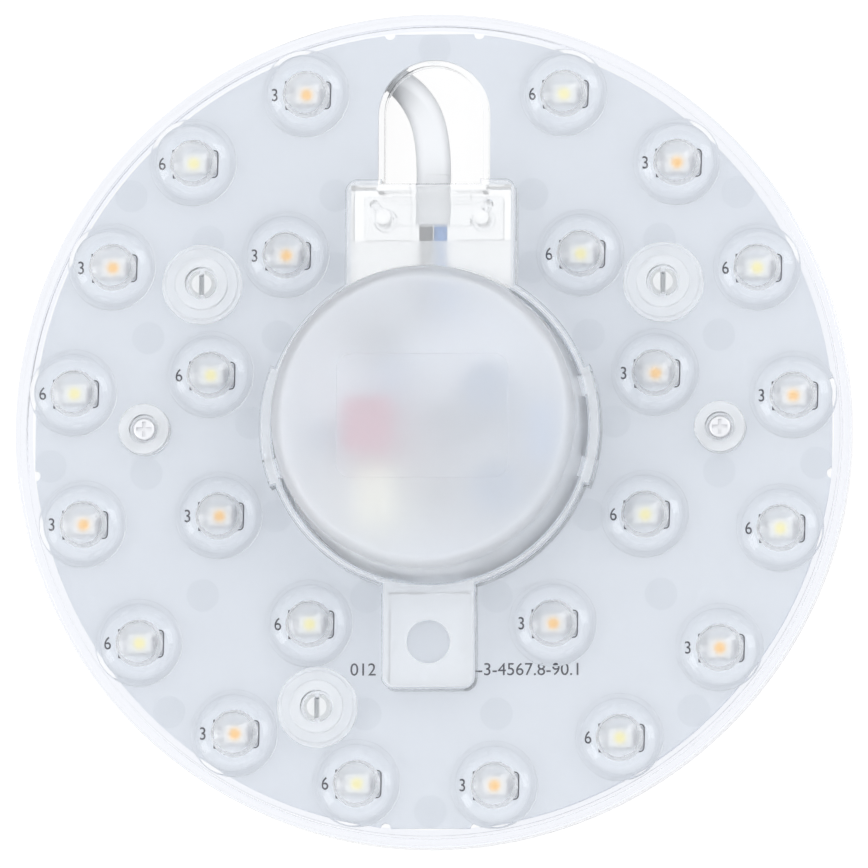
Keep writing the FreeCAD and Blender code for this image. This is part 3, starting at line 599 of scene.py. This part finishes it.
    # Sills, lintels and jambs of the four windows
    for start in (WINDOW_EDGES[0], WINDOW_EDGES[2], 180 + WINDOW_EDGES[0], 180 + WINDOW_EDGES[2]):
        near = front_of(start, start + 2 * window_half, centre_hole)
        far = front_of(start, start + 2 * window_half, bulge_radius)
        parts += [ruled(level(far, window_bottom), level(near, window_bottom)),
                  ruled(level(near, window_top), level(far, window_top))]
        for end, order in ((0, 1), (-1, -1)):
            edge = np.array([near[end], far[end]])[::order]
            parts.append(ruled(level(edge, window_top), level(edge, window_bottom)))
    return piece("clear_lens_plate", [(joined(*parts), clear), (joined(rim, top_edge, under_edge), deep),
                                      (joined(*raised), thick), (joined(*pockets), satin),
                                      (joined(*marks), hazy), (joined(*rough), textured)],
                 ["lens_plate"])


def make_clamp_bar(material):
    """Bar under the cable: two wings beside a channel, two pin holes and a tapered rib below."""
    low, floor = clamp_low + HAIR, clamp_floor - HAIR
    corner = rounded_rectangle(clamp_half, (clamp_end - clamp_start) / 2, clamp_corner, 4,
                               0, (clamp_start + clamp_end) / 2)
    right = corner[corner[:, 0] > 0]
    outline = np.vstack([[(gate_half, clamp_start)], right, [(gate_half, clamp_end), (-gate_half, clamp_end)],
                         right[::-1] * (-1, 1), [(-gate_half, clamp_start)]])
    wide, narrow, rib_end = clamp_rib_half, clamp_rib_half - 2 * clamp_rib_length, clamp_end - 0.05
    rib = np.array([(-narrow, rib_end - clamp_rib_length), (narrow, rib_end - clamp_rib_length),
                    (wide, rib_end), (-wide, rib_end)])
    channel = np.array([(-gate_half, clamp_start), (gate_half, clamp_start), (gate_half, clamp_end),
                        (-gate_half, clamp_end)])
    holes = [circle(pin_hole, 32, side * pin_x, pin_y) for side in (-1, 1)]
    parts = [wall(outline, [(0, low), (0, floor), (0, clamp_wing)],
                  keep=lambda x, y, z: (np.abs(x) > gate_half) | (z < floor)),
             flat([outline, rib] + holes, low, up=False), wall(rib, [(0, low - clamp_rib_height), (0, low)]),
             flat([rib], low - clamp_rib_height, up=False), flat([channel], floor)]
    for side, hole in zip((-1, 1), holes):
        edge = np.array([(side * gate_half, clamp_start), (side * gate_half, clamp_end)])
        wing = np.vstack([edge[:1], right * (side, 1), edge[1:]])
        parts.append(flat([wing, hole], clamp_wing))
        parts.append(wall(hole, [(0, clamp_wing), (0, low)]))
        parts.append(ruled(level(edge[::side], clamp_wing), level(edge[::side], floor)))
    return piece("clamp_bar", [(joined(*parts), material)], ["cable_clamp"])


def cover_profile(foot, top, bend):
    """Side of the cover from its foot up: a slightly drawn-in wall and a rounded edge."""
    heights = np.array([board_bottom, tongue_gap_top, cable_gap_top, 17.0, 22.0])
    draw = cover_taper / (cover_top - cover_round - board_bottom)
    side = np.column_stack([foot - (heights - board_bottom) * draw, heights])
    return np.vstack([side, quarter(bend, top - bend, 0, 90, foot - cover_taper - bend, 9)])


def make_driver_cover(material):
    """Frosted cup with a sunk label field, four hooks, and gaps for the cores and the board's tongue."""
    def keep(x, y, z):
        angle = np.degrees(np.arctan2(y, x))
        return ~(((np.abs(angle - 90) < cable_gap_angle) & (z < cable_gap_top))
                 | ((np.abs(angle + 90) < tongue_gap_angle) & (z < tongue_gap_top)))

    label = rounded_rectangle(label_half_x, label_half_y, label_corner, 8)
    edge = softened([(1, cover_top), (0, cover_top), (0, cover_top - label_depth),
                     (-1, cover_top - label_depth)], 0.1)[1:-1]
    outer = cover_profile(cover_foot, cover_top, cover_round)
    inner = cover_profile(cover_foot - cover_wall, cover_top - cover_wall, cover_round - cover_wall / 2)
    foot = np.array([inner[0], outer[0]])
    parts = [lathe(outer, 240, keep=keep), lathe(inner[::-1], 240, keep=keep), lathe(foot, 240, keep=keep),
             flat([circle(outer[-1, 0], 240), label + edge[0, 0] * outward(label)], cover_top),
             wall(label, edge),
             flat([label + edge[-1, 0] * outward(label)], cover_top - label_depth),
             flat([circle(inner[-1, 0], 240)], cover_top - cover_wall, up=False)]
    for half, turn, rows in ((cable_gap_angle, 90, 3), (tongue_gap_angle, -90, 2)):
        height = outer[rows - 1, 1]
        near = front_of(turn - half, turn + half, inner[rows - 1, 0])
        far = front_of(turn - half, turn + half, outer[rows - 1, 0])
        parts.append(ruled(level(near, height), level(far, height)))
        for angle, order in ((turn - half, 1), (turn + half, -1)):
            ray = arc(0, 0, 1, angle, angle, 1)
            sides = [np.column_stack([shape[:rows, :1] * ray, shape[:rows, 1]]) for shape in (inner, outer)]
            parts.append(ruled(*sides[::order]))
    root, tip = cover_foot - 0.25, cover_foot + hook_reach
    profile = [(root, hook_top - hook_height), (cover_foot, hook_top - hook_height),
               (tip, hook_top - hook_height / 2), (tip, hook_top), (root, hook_top)]
    hook = np.array([(x, y, z) for y in (-hook_half, hook_half) for x, z in profile])
    here = np.arange(5)
    after = np.roll(here, -1)
    faces = [np.column_stack([here, after, after + 5, here + 5]), here[None, ::-1], here[None] + 5]
    for turn in (window_angle, -window_angle, 180 + window_angle, 180 - window_angle):
        parts.append((hook @ np.array(Matrix.Rotation(math.radians(turn), 3, "Z")).T, faces))
    return piece("frosted_cover", [(joined(*parts), material)], ["driver_cover"])


# Materials

def new_material(name):
    """New material, its node tree and its Principled shader."""
    material = bpy.data.materials.new(name)
    material.use_nodes = True
    tree = material.node_tree
    return material, tree, tree.nodes["Principled BSDF"]


def node(tree, kind, **values):
    """New node with its settings and input values."""
    made = tree.nodes.new(kind)
    for key, value in values.items():
        if key in made.inputs:
            made.inputs[key].default_value = value
        else:
            setattr(made, key, value)
    return made


def connect(tree, *links):
    """Links of a tree, each given as a node, its output, the next node and that one's input."""
    for source, output, target, entry in links:
        tree.links.new(source.outputs[output], target.inputs[entry])


def mould_grain_group():
    """Fine unevenness of a moulded or printed surface: a slow and a fast noise, as height and tint."""
    tree = bpy.data.node_groups.new("mould_grain", "ShaderNodeTree")
    for name, value in (("Scale", 900.0), ("Strength", 0.1), ("Rough low", 0.3), ("Rough high", 0.4)):
        socket = tree.interface.new_socket(name=name, in_out="INPUT", socket_type="NodeSocketFloat")
        socket.default_value = value
    for name, kind in (("Roughness", "Float"), ("Normal", "Vector"), ("Shade", "Float")):
        tree.interface.new_socket(name=name, in_out="OUTPUT", socket_type=f"NodeSocket{kind}")
    inputs = node(tree, "NodeGroupInput")
    outputs = node(tree, "NodeGroupOutput")
    place = node(tree, "ShaderNodeTexCoord")
    fine = node(tree, "ShaderNodeTexNoise", Detail=3.0)
    slow = node(tree, "ShaderNodeTexNoise", Scale=60.0, Detail=2.0)
    bump = node(tree, "ShaderNodeBump", Distance=0.0001)
    spread = node(tree, "ShaderNodeMapRange")
    connect(tree, (place, "Object", fine, "Vector"), (place, "Object", slow, "Vector"),
            (inputs, "Scale", fine, "Scale"), (inputs, "Strength", bump, "Strength"),
            (fine, "Fac", bump, "Height"), (slow, "Fac", spread, "Value"),
            (inputs, "Rough low", spread, "To Min"), (inputs, "Rough high", spread, "To Max"),
            (spread, "Result", outputs, "Roughness"), (bump, "Normal", outputs, "Normal"),
            (slow, "Fac", outputs, "Shade"))
    return tree


grain = mould_grain_group()
finish = {}


def with_grain(tree, shader, scale, strength, rough_low, rough_high, light=None, dark=None):
    """Puts the grain group in a material: roughness and bump, and any base colour between two tones."""
    group = node(tree, "ShaderNodeGroup", node_tree=grain)
    for name, value in (("Scale", scale), ("Strength", strength), ("Rough low", rough_low),
                        ("Rough high", rough_high)):
        group.inputs[name].default_value = value
    connect(tree, (group, "Roughness", shader, "Roughness"), (group, "Normal", shader, "Normal"))
    if light:
        mix = node(tree, "ShaderNodeMix", data_type="RGBA")
        mix.inputs["A"].default_value = (*dark, 1)
        mix.inputs["B"].default_value = (*light, 1)
        connect(tree, (group, "Shade", mix, "Factor"), (mix, "Result", shader, "Base Color"))


def plain_finish(name, light, dark, rough_low=0.35, rough_high=0.5, scale=900.0, strength=0.1, **values):
    """Opaque moulded, painted or plated finish."""
    material, tree, shader = new_material(name)
    with_grain(tree, shader, scale, strength, rough_low, rough_high, light, dark)
    for key, value in values.items():
        shader.inputs[key].default_value = value
    finish[name] = material


def lets_lamps_through(tree, shader, colour):
    """Lamp rays pass the clear shader straight, in that colour."""
    path = node(tree, "ShaderNodeLightPath")
    clear = node(tree, "ShaderNodeBsdfTransparent", Color=(*colour, 1))
    mix = node(tree, "ShaderNodeMixShader")
    connect(tree, (path, "Is Shadow Ray", mix, 0), (shader, 0, mix, 1), (clear, 0, mix, 2),
            (mix, 0, tree.nodes["Material Output"], "Surface"))


def clear_finish(name, colour, rough_low, rough_high, ior, through, strength=0.04, weight=1.0):
    """Clear, satin or frosted plastic; weight is the share of light that passes instead of scattering."""
    material, tree, shader = new_material(name)
    shader.inputs["Base Color"].default_value = (*colour, 1)
    shader.inputs["Transmission Weight"].default_value = weight
    shader.inputs["IOR"].default_value = ior
    with_grain(tree, shader, 1400.0, strength, rough_low, rough_high)
    lets_lamps_through(tree, shader, through)
    finish[name] = material


clear_finish("clear_plastic", (0.985, 0.99, 0.995), 0.0, 0.02, 1.49, (0.97, 0.975, 0.98))
# Painted shade: a darker, bluer copy of the clear plastic, for the rim outside the board
clear_finish("deep_plastic", (0.89, 0.905, 0.95), 0.0, 0.02, 1.49, (0.95, 0.955, 0.96))
clear_finish("satin_plastic", (0.98, 0.985, 0.99), 0.5, 0.58, 1.49, (0.96, 0.965, 0.97))
clear_finish("thick_plastic", (0.98, 0.985, 0.99), 0.02, 0.06, 1.49, (0.97, 0.975, 0.98), weight=0.72)
clear_finish("hazy_plastic", (0.92, 0.93, 0.94), 0.16, 0.24, 1.49, (0.9, 0.905, 0.91), 0.2)
clear_finish("textured_plastic", (0.96, 0.965, 0.97), 0.45, 0.55, 1.49, (0.9, 0.905, 0.91), 0.3, 0.5)
clear_finish("milky_plastic", (0.95, 0.96, 0.97), 0.25, 0.35, 1.47, (0.85, 0.86, 0.87), 0.1, 0.2)
clear_finish("frosted_plastic", (0.955, 0.972, 1.0), 0.46, 0.52, 1.45, (0.93, 0.94, 0.95), 0.1, 0.74)
frosted_shader = finish["frosted_plastic"].node_tree.nodes["Principled BSDF"]
frosted_shader.inputs["Coat Weight"].default_value = 0.6
frosted_shader.inputs["Coat Roughness"].default_value = 0.1
plain_finish("board_white", (0.80, 0.83, 0.88), (0.77, 0.80, 0.86), 0.3, 0.42)
plain_finish("led_body", (0.84, 0.86, 0.88), (0.81, 0.83, 0.85), 0.4, 0.5)
plain_finish("warm_gel", (1.0, 0.56, 0.13), (0.98, 0.52, 0.10), 0.25, 0.35)
plain_finish("warm_edge", (0.95, 0.86, 0.70), (0.93, 0.84, 0.68), 0.25, 0.35)
plain_finish("cool_gel", (0.95, 0.86, 0.36), (0.92, 0.82, 0.32), 0.25, 0.35)
plain_finish("cool_edge", (0.93, 0.91, 0.80), (0.91, 0.89, 0.78), 0.25, 0.35)
plain_finish("pad_grey", (0.50, 0.51, 0.55), (0.42, 0.43, 0.47), 0.5, 0.7, 3000.0, 0.4)
plain_finish("tin", (0.62, 0.62, 0.65), (0.5, 0.5, 0.54), 0.3, 0.5, Metallic=0.8)
plain_finish("print_ink", (0.05, 0.05, 0.07), (0.03, 0.03, 0.05), 0.5, 0.6)
plain_finish("magnet_nickel", (0.66, 0.64, 0.60), (0.58, 0.56, 0.53), 0.18, 0.32, Metallic=1.0)
plain_finish("cup_steel", (0.60, 0.61, 0.63), (0.52, 0.53, 0.55), 0.22, 0.4, Metallic=1.0)
plain_finish("screw_steel", (0.86, 0.86, 0.88), (0.76, 0.76, 0.78), 0.3, 0.45, Metallic=0.9)
plain_finish("tray_white", (0.92, 0.93, 0.94), (0.88, 0.89, 0.90), 0.4, 0.55)
plain_finish("circuit_white", (0.92, 0.93, 0.95), (0.89, 0.90, 0.92), 0.3, 0.45)
plain_finish("capacitor_red", (0.48, 0.04, 0.13), (0.40, 0.03, 0.10), 0.25, 0.35)
plain_finish("tape_yellow", (0.92, 0.88, 0.66), (0.88, 0.83, 0.58), 0.3, 0.45)
plain_finish("can_sleeve", (0.22, 0.28, 0.38), (0.17, 0.23, 0.33), 0.25, 0.35)
plain_finish("varistor_blue", (0.34, 0.44, 0.62), (0.28, 0.38, 0.56), 0.3, 0.4)
plain_finish("chip_black", (0.12, 0.12, 0.13), (0.08, 0.08, 0.09), 0.4, 0.55)
plain_finish("ferrite_grey", (0.30, 0.32, 0.36), (0.24, 0.26, 0.30), 0.5, 0.65)
plain_finish("cable_white", (0.85, 0.86, 0.88), (0.83, 0.84, 0.86), 0.35, 0.45, strength=0.06)
plain_finish("core_black", (0.05, 0.05, 0.055), (0.03, 0.03, 0.035), 0.35, 0.45)
plain_finish("core_blue", (0.05, 0.26, 0.66), (0.04, 0.22, 0.60), 0.35, 0.45)
plain_finish("connector_white", (0.80, 0.80, 0.79), (0.76, 0.76, 0.75), 0.4, 0.5)

CAD_FINISHES = {
    "led_board": "board_white", "clamp_pins": "clear_plastic", "case_screws": "screw_steel",
    "driver_tray": "tray_white", "driver_board": "circuit_white", "film_capacitor": "capacitor_red",
    "choke": "tape_yellow", "input_capacitor": "can_sleeve", "output_capacitor": "can_sleeve",
    "small_capacitor": "can_sleeve", "varistor": "varistor_blue", "bridge_rectifier": "chip_black",
    "control_chip": "chip_black", "drum_choke": "ferrite_grey", "safety_capacitor": "varistor_blue",
    "link_header": "chip_black", "link_pins": "tin", "lead_black": "core_black", "lead_blue": "core_blue",
    "cable_sheath": "cable_white", "wire_connector": "connector_white",
}
for i in (1, 2, 3):
    CAD_FINISHES[f"magnet_post_{i}"] = "milky_plastic"
    CAD_FINISHES[f"magnet_cup_{i}"] = "cup_steel"
    CAD_FINISHES[f"magnet_{i}"] = "magnet_nickel"
for name, material in CAD_FINISHES.items():
    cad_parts[name].material_slots[0].material = finish[material]


# LED packages, pads and printed marks

package_half_x, package_half_y = 1.75, 1.4
package_low, package_high = board_top + 0.06, board_top + 0.8
well_radius, gel_radius, gel_ball = 1.1, 1.02, 3.2
gel_rim, gel_top = package_high - 0.12, package_high - 0.08
terminal_place, terminal_low, terminal_high = 1.7, board_top + 0.035, board_top + 0.3
print_low, print_high = board_top + 0.004, board_top + 0.024
digit_size = 2.0
row_size, row_place = 2.7, -36.8


def block(loop, profile):
    """Closed block of an outline: its profile of (offset, height) rises from the under face to the top."""
    crown = loop + profile[-1][0] * outward(loop)
    return joined(wall(loop, profile), flat([crown], profile[-1][1]), flat([loop], profile[0][1], up=False))


def make_led(name, place):
    """White package with a gel window, a low spherical cap, and two end terminals."""
    x, y, _ = place
    kind = "warm" if "warm" in name else "cool"
    body = rounded_rectangle(package_half_x, package_half_y, 0.12, 4, x, y)
    side = softened([(0, package_low), (0, package_high), (-0.3, package_high)], 0.08)[:-1]
    top_edge = body + side[-1][0] * outward(body)
    package = joined(wall(body, side), flat([top_edge, circle(well_radius, 40, x, y)], package_high),
                     flat([body], package_low, up=False),
                     lathe([(well_radius, package_high), (gel_radius, gel_rim)], 40, x, y))
    cap = quarter(gel_ball, gel_top - gel_ball, 76, 90, 0, 4)
    edge = lathe([(gel_radius, gel_rim), cap[0]], 40, x, y)
    side = softened([(0, terminal_low), (0, terminal_high), (-0.25, terminal_high)], 0.06)[:-1]
    terminals = [block(rounded_rectangle(0.3, 1.1, 0.05, 3, x + end * terminal_place, y), side)
                 for end in (-1, 1)]
    return piece(name.replace("led_", "") + "_led",
                 [(package, finish["led_body"]), (edge, finish[kind + "_edge"]),
                  (lathe(cap, 40, x, y), finish[kind + "_gel"]), (joined(*terminals), finish["tin"])],
                 [name])


def ring_strip(loop, width, low, high):
    """Thin closed band along a loop, as wide as an ink line."""
    half = width / 2
    return wall(loop, [(half, low), (half, high), (-half, high), (-half, low), (half, low)])


def digit_surface(text, size):
    """A digit of the built-in font as a closed, slightly thick surface, centred."""
    curve = bpy.data.curves.new("digit", "FONT")
    curve.body = text
    curve.size = size * METRES
    curve.extrude = 0.00001
    curve.resolution_u = 6
    curve.align_x, curve.align_y = "CENTER", "CENTER"
    mesh, points = mesh_of(curve)
    mesh.calc_loop_triangles()
    triangles = np.empty(len(mesh.loop_triangles) * 3, np.int32)
    mesh.loop_triangles.foreach_get("vertices", triangles)
    return points, [triangles.reshape(-1, 3)]


def make_board_print():
    """Pads, an outline and a digit at each LED, 3 for warm and 6 for cool ones, and a row of plain digits."""
    ink, pads = [], []
    digits = {"warm": digit_surface("3", digit_size), "cool": digit_surface("6", digit_size)}
    pad_profile = [(0, print_low), (0, print_high - 0.005)]
    for name, (x, y, _) in leds.items():
        outline = chain([(x - 2.3, y - 1.5)], arc(x + 2.25, y - 1.1, 0.4, -90, 0, 5),
                        arc(x + 2.25, y + 1.1, 0.4, 0, 90, 5), [(x - 2.3, y + 1.5)])
        ink.append(ring_strip(outline, 0.14, print_low, print_high))
        pads.append(block(rounded_rectangle(0.48, 1.3, 0.1, 3, x + 2.1, y), pad_profile))
        pads.append(block(rounded_rectangle(0.3, 1.1, 0.1, 3, x - 1.85, y), pad_profile))
        kind = "warm" if "warm" in name else "cool"
        ink.append(moved(digits[kind], x - 3.6, y, print_high))
    for digits_there, x in (("012", -10.4), ("-3-4567.8-90.1", 15.0)):
        ink.append(moved(digit_surface(digits_there, row_size), x, row_place, print_high))
    piece("board_marks", [(joined(*ink), finish["print_ink"])])
    piece("led_pads", [(joined(*pads), finish["pad_grey"])])


# The flat cable

CABLE_WIDTH, CABLE_THICKNESS = 5.3, 3.2
CABLE_REST = 2.7
CABLE_POINTS = [(0.0, 39.0, 10.2), (0.0, 43.4, 10.2), (-1.6, 49.6, 8.4), (-6.0, 54.7, 4.9),
                (-12.4, 57.3, 3.1), (-19.4, 56.3, CABLE_REST), (-25.1, 52.0, CABLE_REST),
                (-28.3, 45.4, CABLE_REST), (-28.7, 38.0, CABLE_REST), (-27.2, 30.4, CABLE_REST),
                (-26.3, 22.4, CABLE_REST), (-27.0, 14.2, CABLE_REST)]
WRAP_RADIUS, WRAP_START, WRAP_STEP, WRAP_COUNT = 29.8, 171.0, 23.0, 9


def cable_line():
    """Points along the cable's smooth centreline, read from its spline."""
    wrap = np.radians(WRAP_START + WRAP_STEP * np.arange(WRAP_COUNT))
    points = np.vstack([CABLE_POINTS, np.column_stack([WRAP_RADIUS * np.cos(wrap), WRAP_RADIUS * np.sin(wrap),
                                                       np.full(WRAP_COUNT, CABLE_REST)])]) * METRES
    curve = bpy.data.curves.new("cable_route", "CURVE")
    curve.dimensions = "3D"
    curve.resolution_u = 10
    spline = curve.splines.new("NURBS")
    spline.points.add(len(points) - 1)
    spline.points.foreach_set("co", np.column_stack([points, np.ones(len(points))]).ravel())
    spline.order_u = 3
    spline.use_endpoint_u = True
    return mesh_of(curve)[1]


def make_cable(material):
    """Flat sheath carried along the centreline, level at the housing and on its edge beyond.

    Section: a stadium, turned about the centreline by an angle that rises smoothly from 0 to
    90 degrees over the first 26 mm after the exit.
    """
    path = cable_line()
    step = np.linalg.norm(np.diff(path, axis=0), axis=1)
    along = np.concatenate([[0], np.cumsum(step)])
    tangent = np.gradient(path, along, axis=0)
    tangent /= np.linalg.norm(tangent, axis=1, keepdims=True)
    side = np.cross(tangent, (0, 0, 1))
    side /= np.linalg.norm(side, axis=1, keepdims=True)
    rise = np.cross(side, tangent)
    t = np.clip((along - 5.0) / 21.0, 0, 1)
    roll = (t * t * (3 - 2 * t)) * np.pi / 2
    wide = side * np.cos(roll)[:, None] + rise * np.sin(roll)[:, None]
    thin = np.cross(wide, tangent)
    half_gap = (CABLE_WIDTH - CABLE_THICKNESS) / 2
    section = chain(arc(half_gap, 0, CABLE_THICKNESS / 2, -90, 90, 13),
                    arc(-half_gap, 0, CABLE_THICKNESS / 2, 90, 270, 13))
    points = path[:, None] + section[None, :, :1] * wide[:, None] - section[None, :, 1:] * thin[:, None]
    surface, faces = grid(points)
    first = np.arange(len(section))[None]
    faces += [first[:, ::-1], first + len(surface) - len(section)]
    cable = piece("flat_cable", [((surface, faces), material)], ["cable_run"])
    return cable


PLATE_FINISHES = ("clear", "deep", "thick", "satin", "hazy", "textured")
make_lens_plate(*[finish[kind + "_plastic"] for kind in PLATE_FINISHES])
make_clamp_bar(finish["hazy_plastic"])
make_driver_cover(finish["frosted_plastic"])
for led_name, led_place in leds.items():
    make_led(led_name, led_place)
make_board_print()
make_cable(finish["cable_white"])


# Floor, studio and camera

def make_floor():
    """White sweep under the module. It keeps the module's shadow over a base of plain white."""
    half = 1500.0
    material, tree, shader = new_material("floor_white")
    shader.inputs["Base Color"].default_value = (0.13, 0.13, 0.13, 1)
    shader.inputs["Roughness"].default_value = 0.9
    path = node(tree, "ShaderNodeLightPath")
    most = node(tree, "ShaderNodeMath", operation="MAXIMUM")
    most_of_all = node(tree, "ShaderNodeMath", operation="MAXIMUM")
    glow = node(tree, "ShaderNodeEmission", Strength=0.93)
    add = node(tree, "ShaderNodeAddShader")
    mix = node(tree, "ShaderNodeMixShader")
    connect(tree, (path, "Is Camera Ray", most, 0), (path, "Is Glossy Ray", most, 1),
            (most, 0, most_of_all, 0), (path, "Is Transmission Ray", most_of_all, 1),
            (most_of_all, 0, mix, 0), (shader, 0, add, 0), (glow, 0, add, 1), (shader, 0, mix, 1),
            (add, 0, mix, 2), (mix, 0, tree.nodes["Material Output"], "Surface"))
    points = np.array([(-half, -half, 0), (half, -half, 0), (half, half, 0), (-half, half, 0)]) * METRES
    mesh = bpy.data.meshes.new("floor")
    mesh.from_pydata(points.tolist(), [], [(0, 1, 2, 3)])
    mesh.materials.append(material)
    placed("floor", mesh)


def make_studio():
    """White surround, brighter above, to the sides and in front, and two soft lamps.

    Strength rises smoothly with 0.8 z + 0.7 |x| - 0.5 y of the direction.
    """
    world = bpy.data.worlds.new("studio")
    bpy.context.scene.world = world
    world.use_nodes = True
    tree = world.node_tree
    place = node(tree, "ShaderNodeTexCoord")
    split = node(tree, "ShaderNodeSeparateXYZ")
    size = node(tree, "ShaderNodeMath", operation="ABSOLUTE")
    wide = node(tree, "ShaderNodeMath", operation="MULTIPLY_ADD")
    wide.inputs[1].default_value = 0.7
    front = node(tree, "ShaderNodeMath", operation="MULTIPLY")
    front.inputs[1].default_value = -0.5
    total = node(tree, "ShaderNodeMath", operation="MULTIPLY_ADD")
    total.inputs[1].default_value = 0.8
    ramp = node(tree, "ShaderNodeMapRange", interpolation_type="SMOOTHSTEP",
                **{"From Min": -0.4, "From Max": 0.8, "To Min": 0.46, "To Max": 1.1})
    background = tree.nodes["Background"]
    background.inputs["Color"].default_value = (0.97, 0.985, 1.0, 1)
    connect(tree, (place, "Generated", split, 0), (split, "X", size, 0), (split, "Y", front, 0),
            (size, 0, wide, 0), (front, 0, wide, 2), (split, "Z", total, 0), (wide, 0, total, 2),
            (total, 0, ramp, "Value"), (ramp, "Result", background, "Strength"))
    for name, spot, power, width in (("lamp_right", (0.55, 0.35, 0.8), 0.8, 0.27),
                                     ("lamp_left", (-0.7, -0.1, 0.8), 0.8, 0.3)):
        light = bpy.data.lights.new(name, "AREA")
        light.energy = power
        light.shape = "RECTANGLE"
        light.size = width
        light.size_y = width * 1.4
        obj = placed(name, light)
        obj.location = spot
        obj.rotation_euler = (-Vector(spot)).to_track_quat("-Z", "Y").to_euler()


def make_camera():
    """Long lens a little to the lower right of the module's axis, upright on +Y."""
    across = 868 * 0.1525 * METRES
    distance = 1.6
    towards = Vector((0.088, -0.118, 1.0)).normalized()
    right = Vector((0, 1, 0)).cross(towards).normalized()
    up = towards.cross(right)
    turn = Matrix((right, up, towards)).transposed() @ Matrix.Rotation(0.0055, 3, "Z")
    camera = bpy.data.cameras.new("camera")
    camera.sensor_width = 36.0
    camera.lens = camera.sensor_width * distance / across
    camera.clip_end = 10.0
    target = Vector((0.00018, -0.0006, 0.0095))
    obj = placed("camera", camera)
    obj.matrix_world = Matrix.Translation(target + towards * distance) @ turn.to_4x4()
    bpy.context.scene.camera = obj


make_floor()
make_studio()
make_camera()
bpy.context.scene.view_settings.view_transform = "Standard"
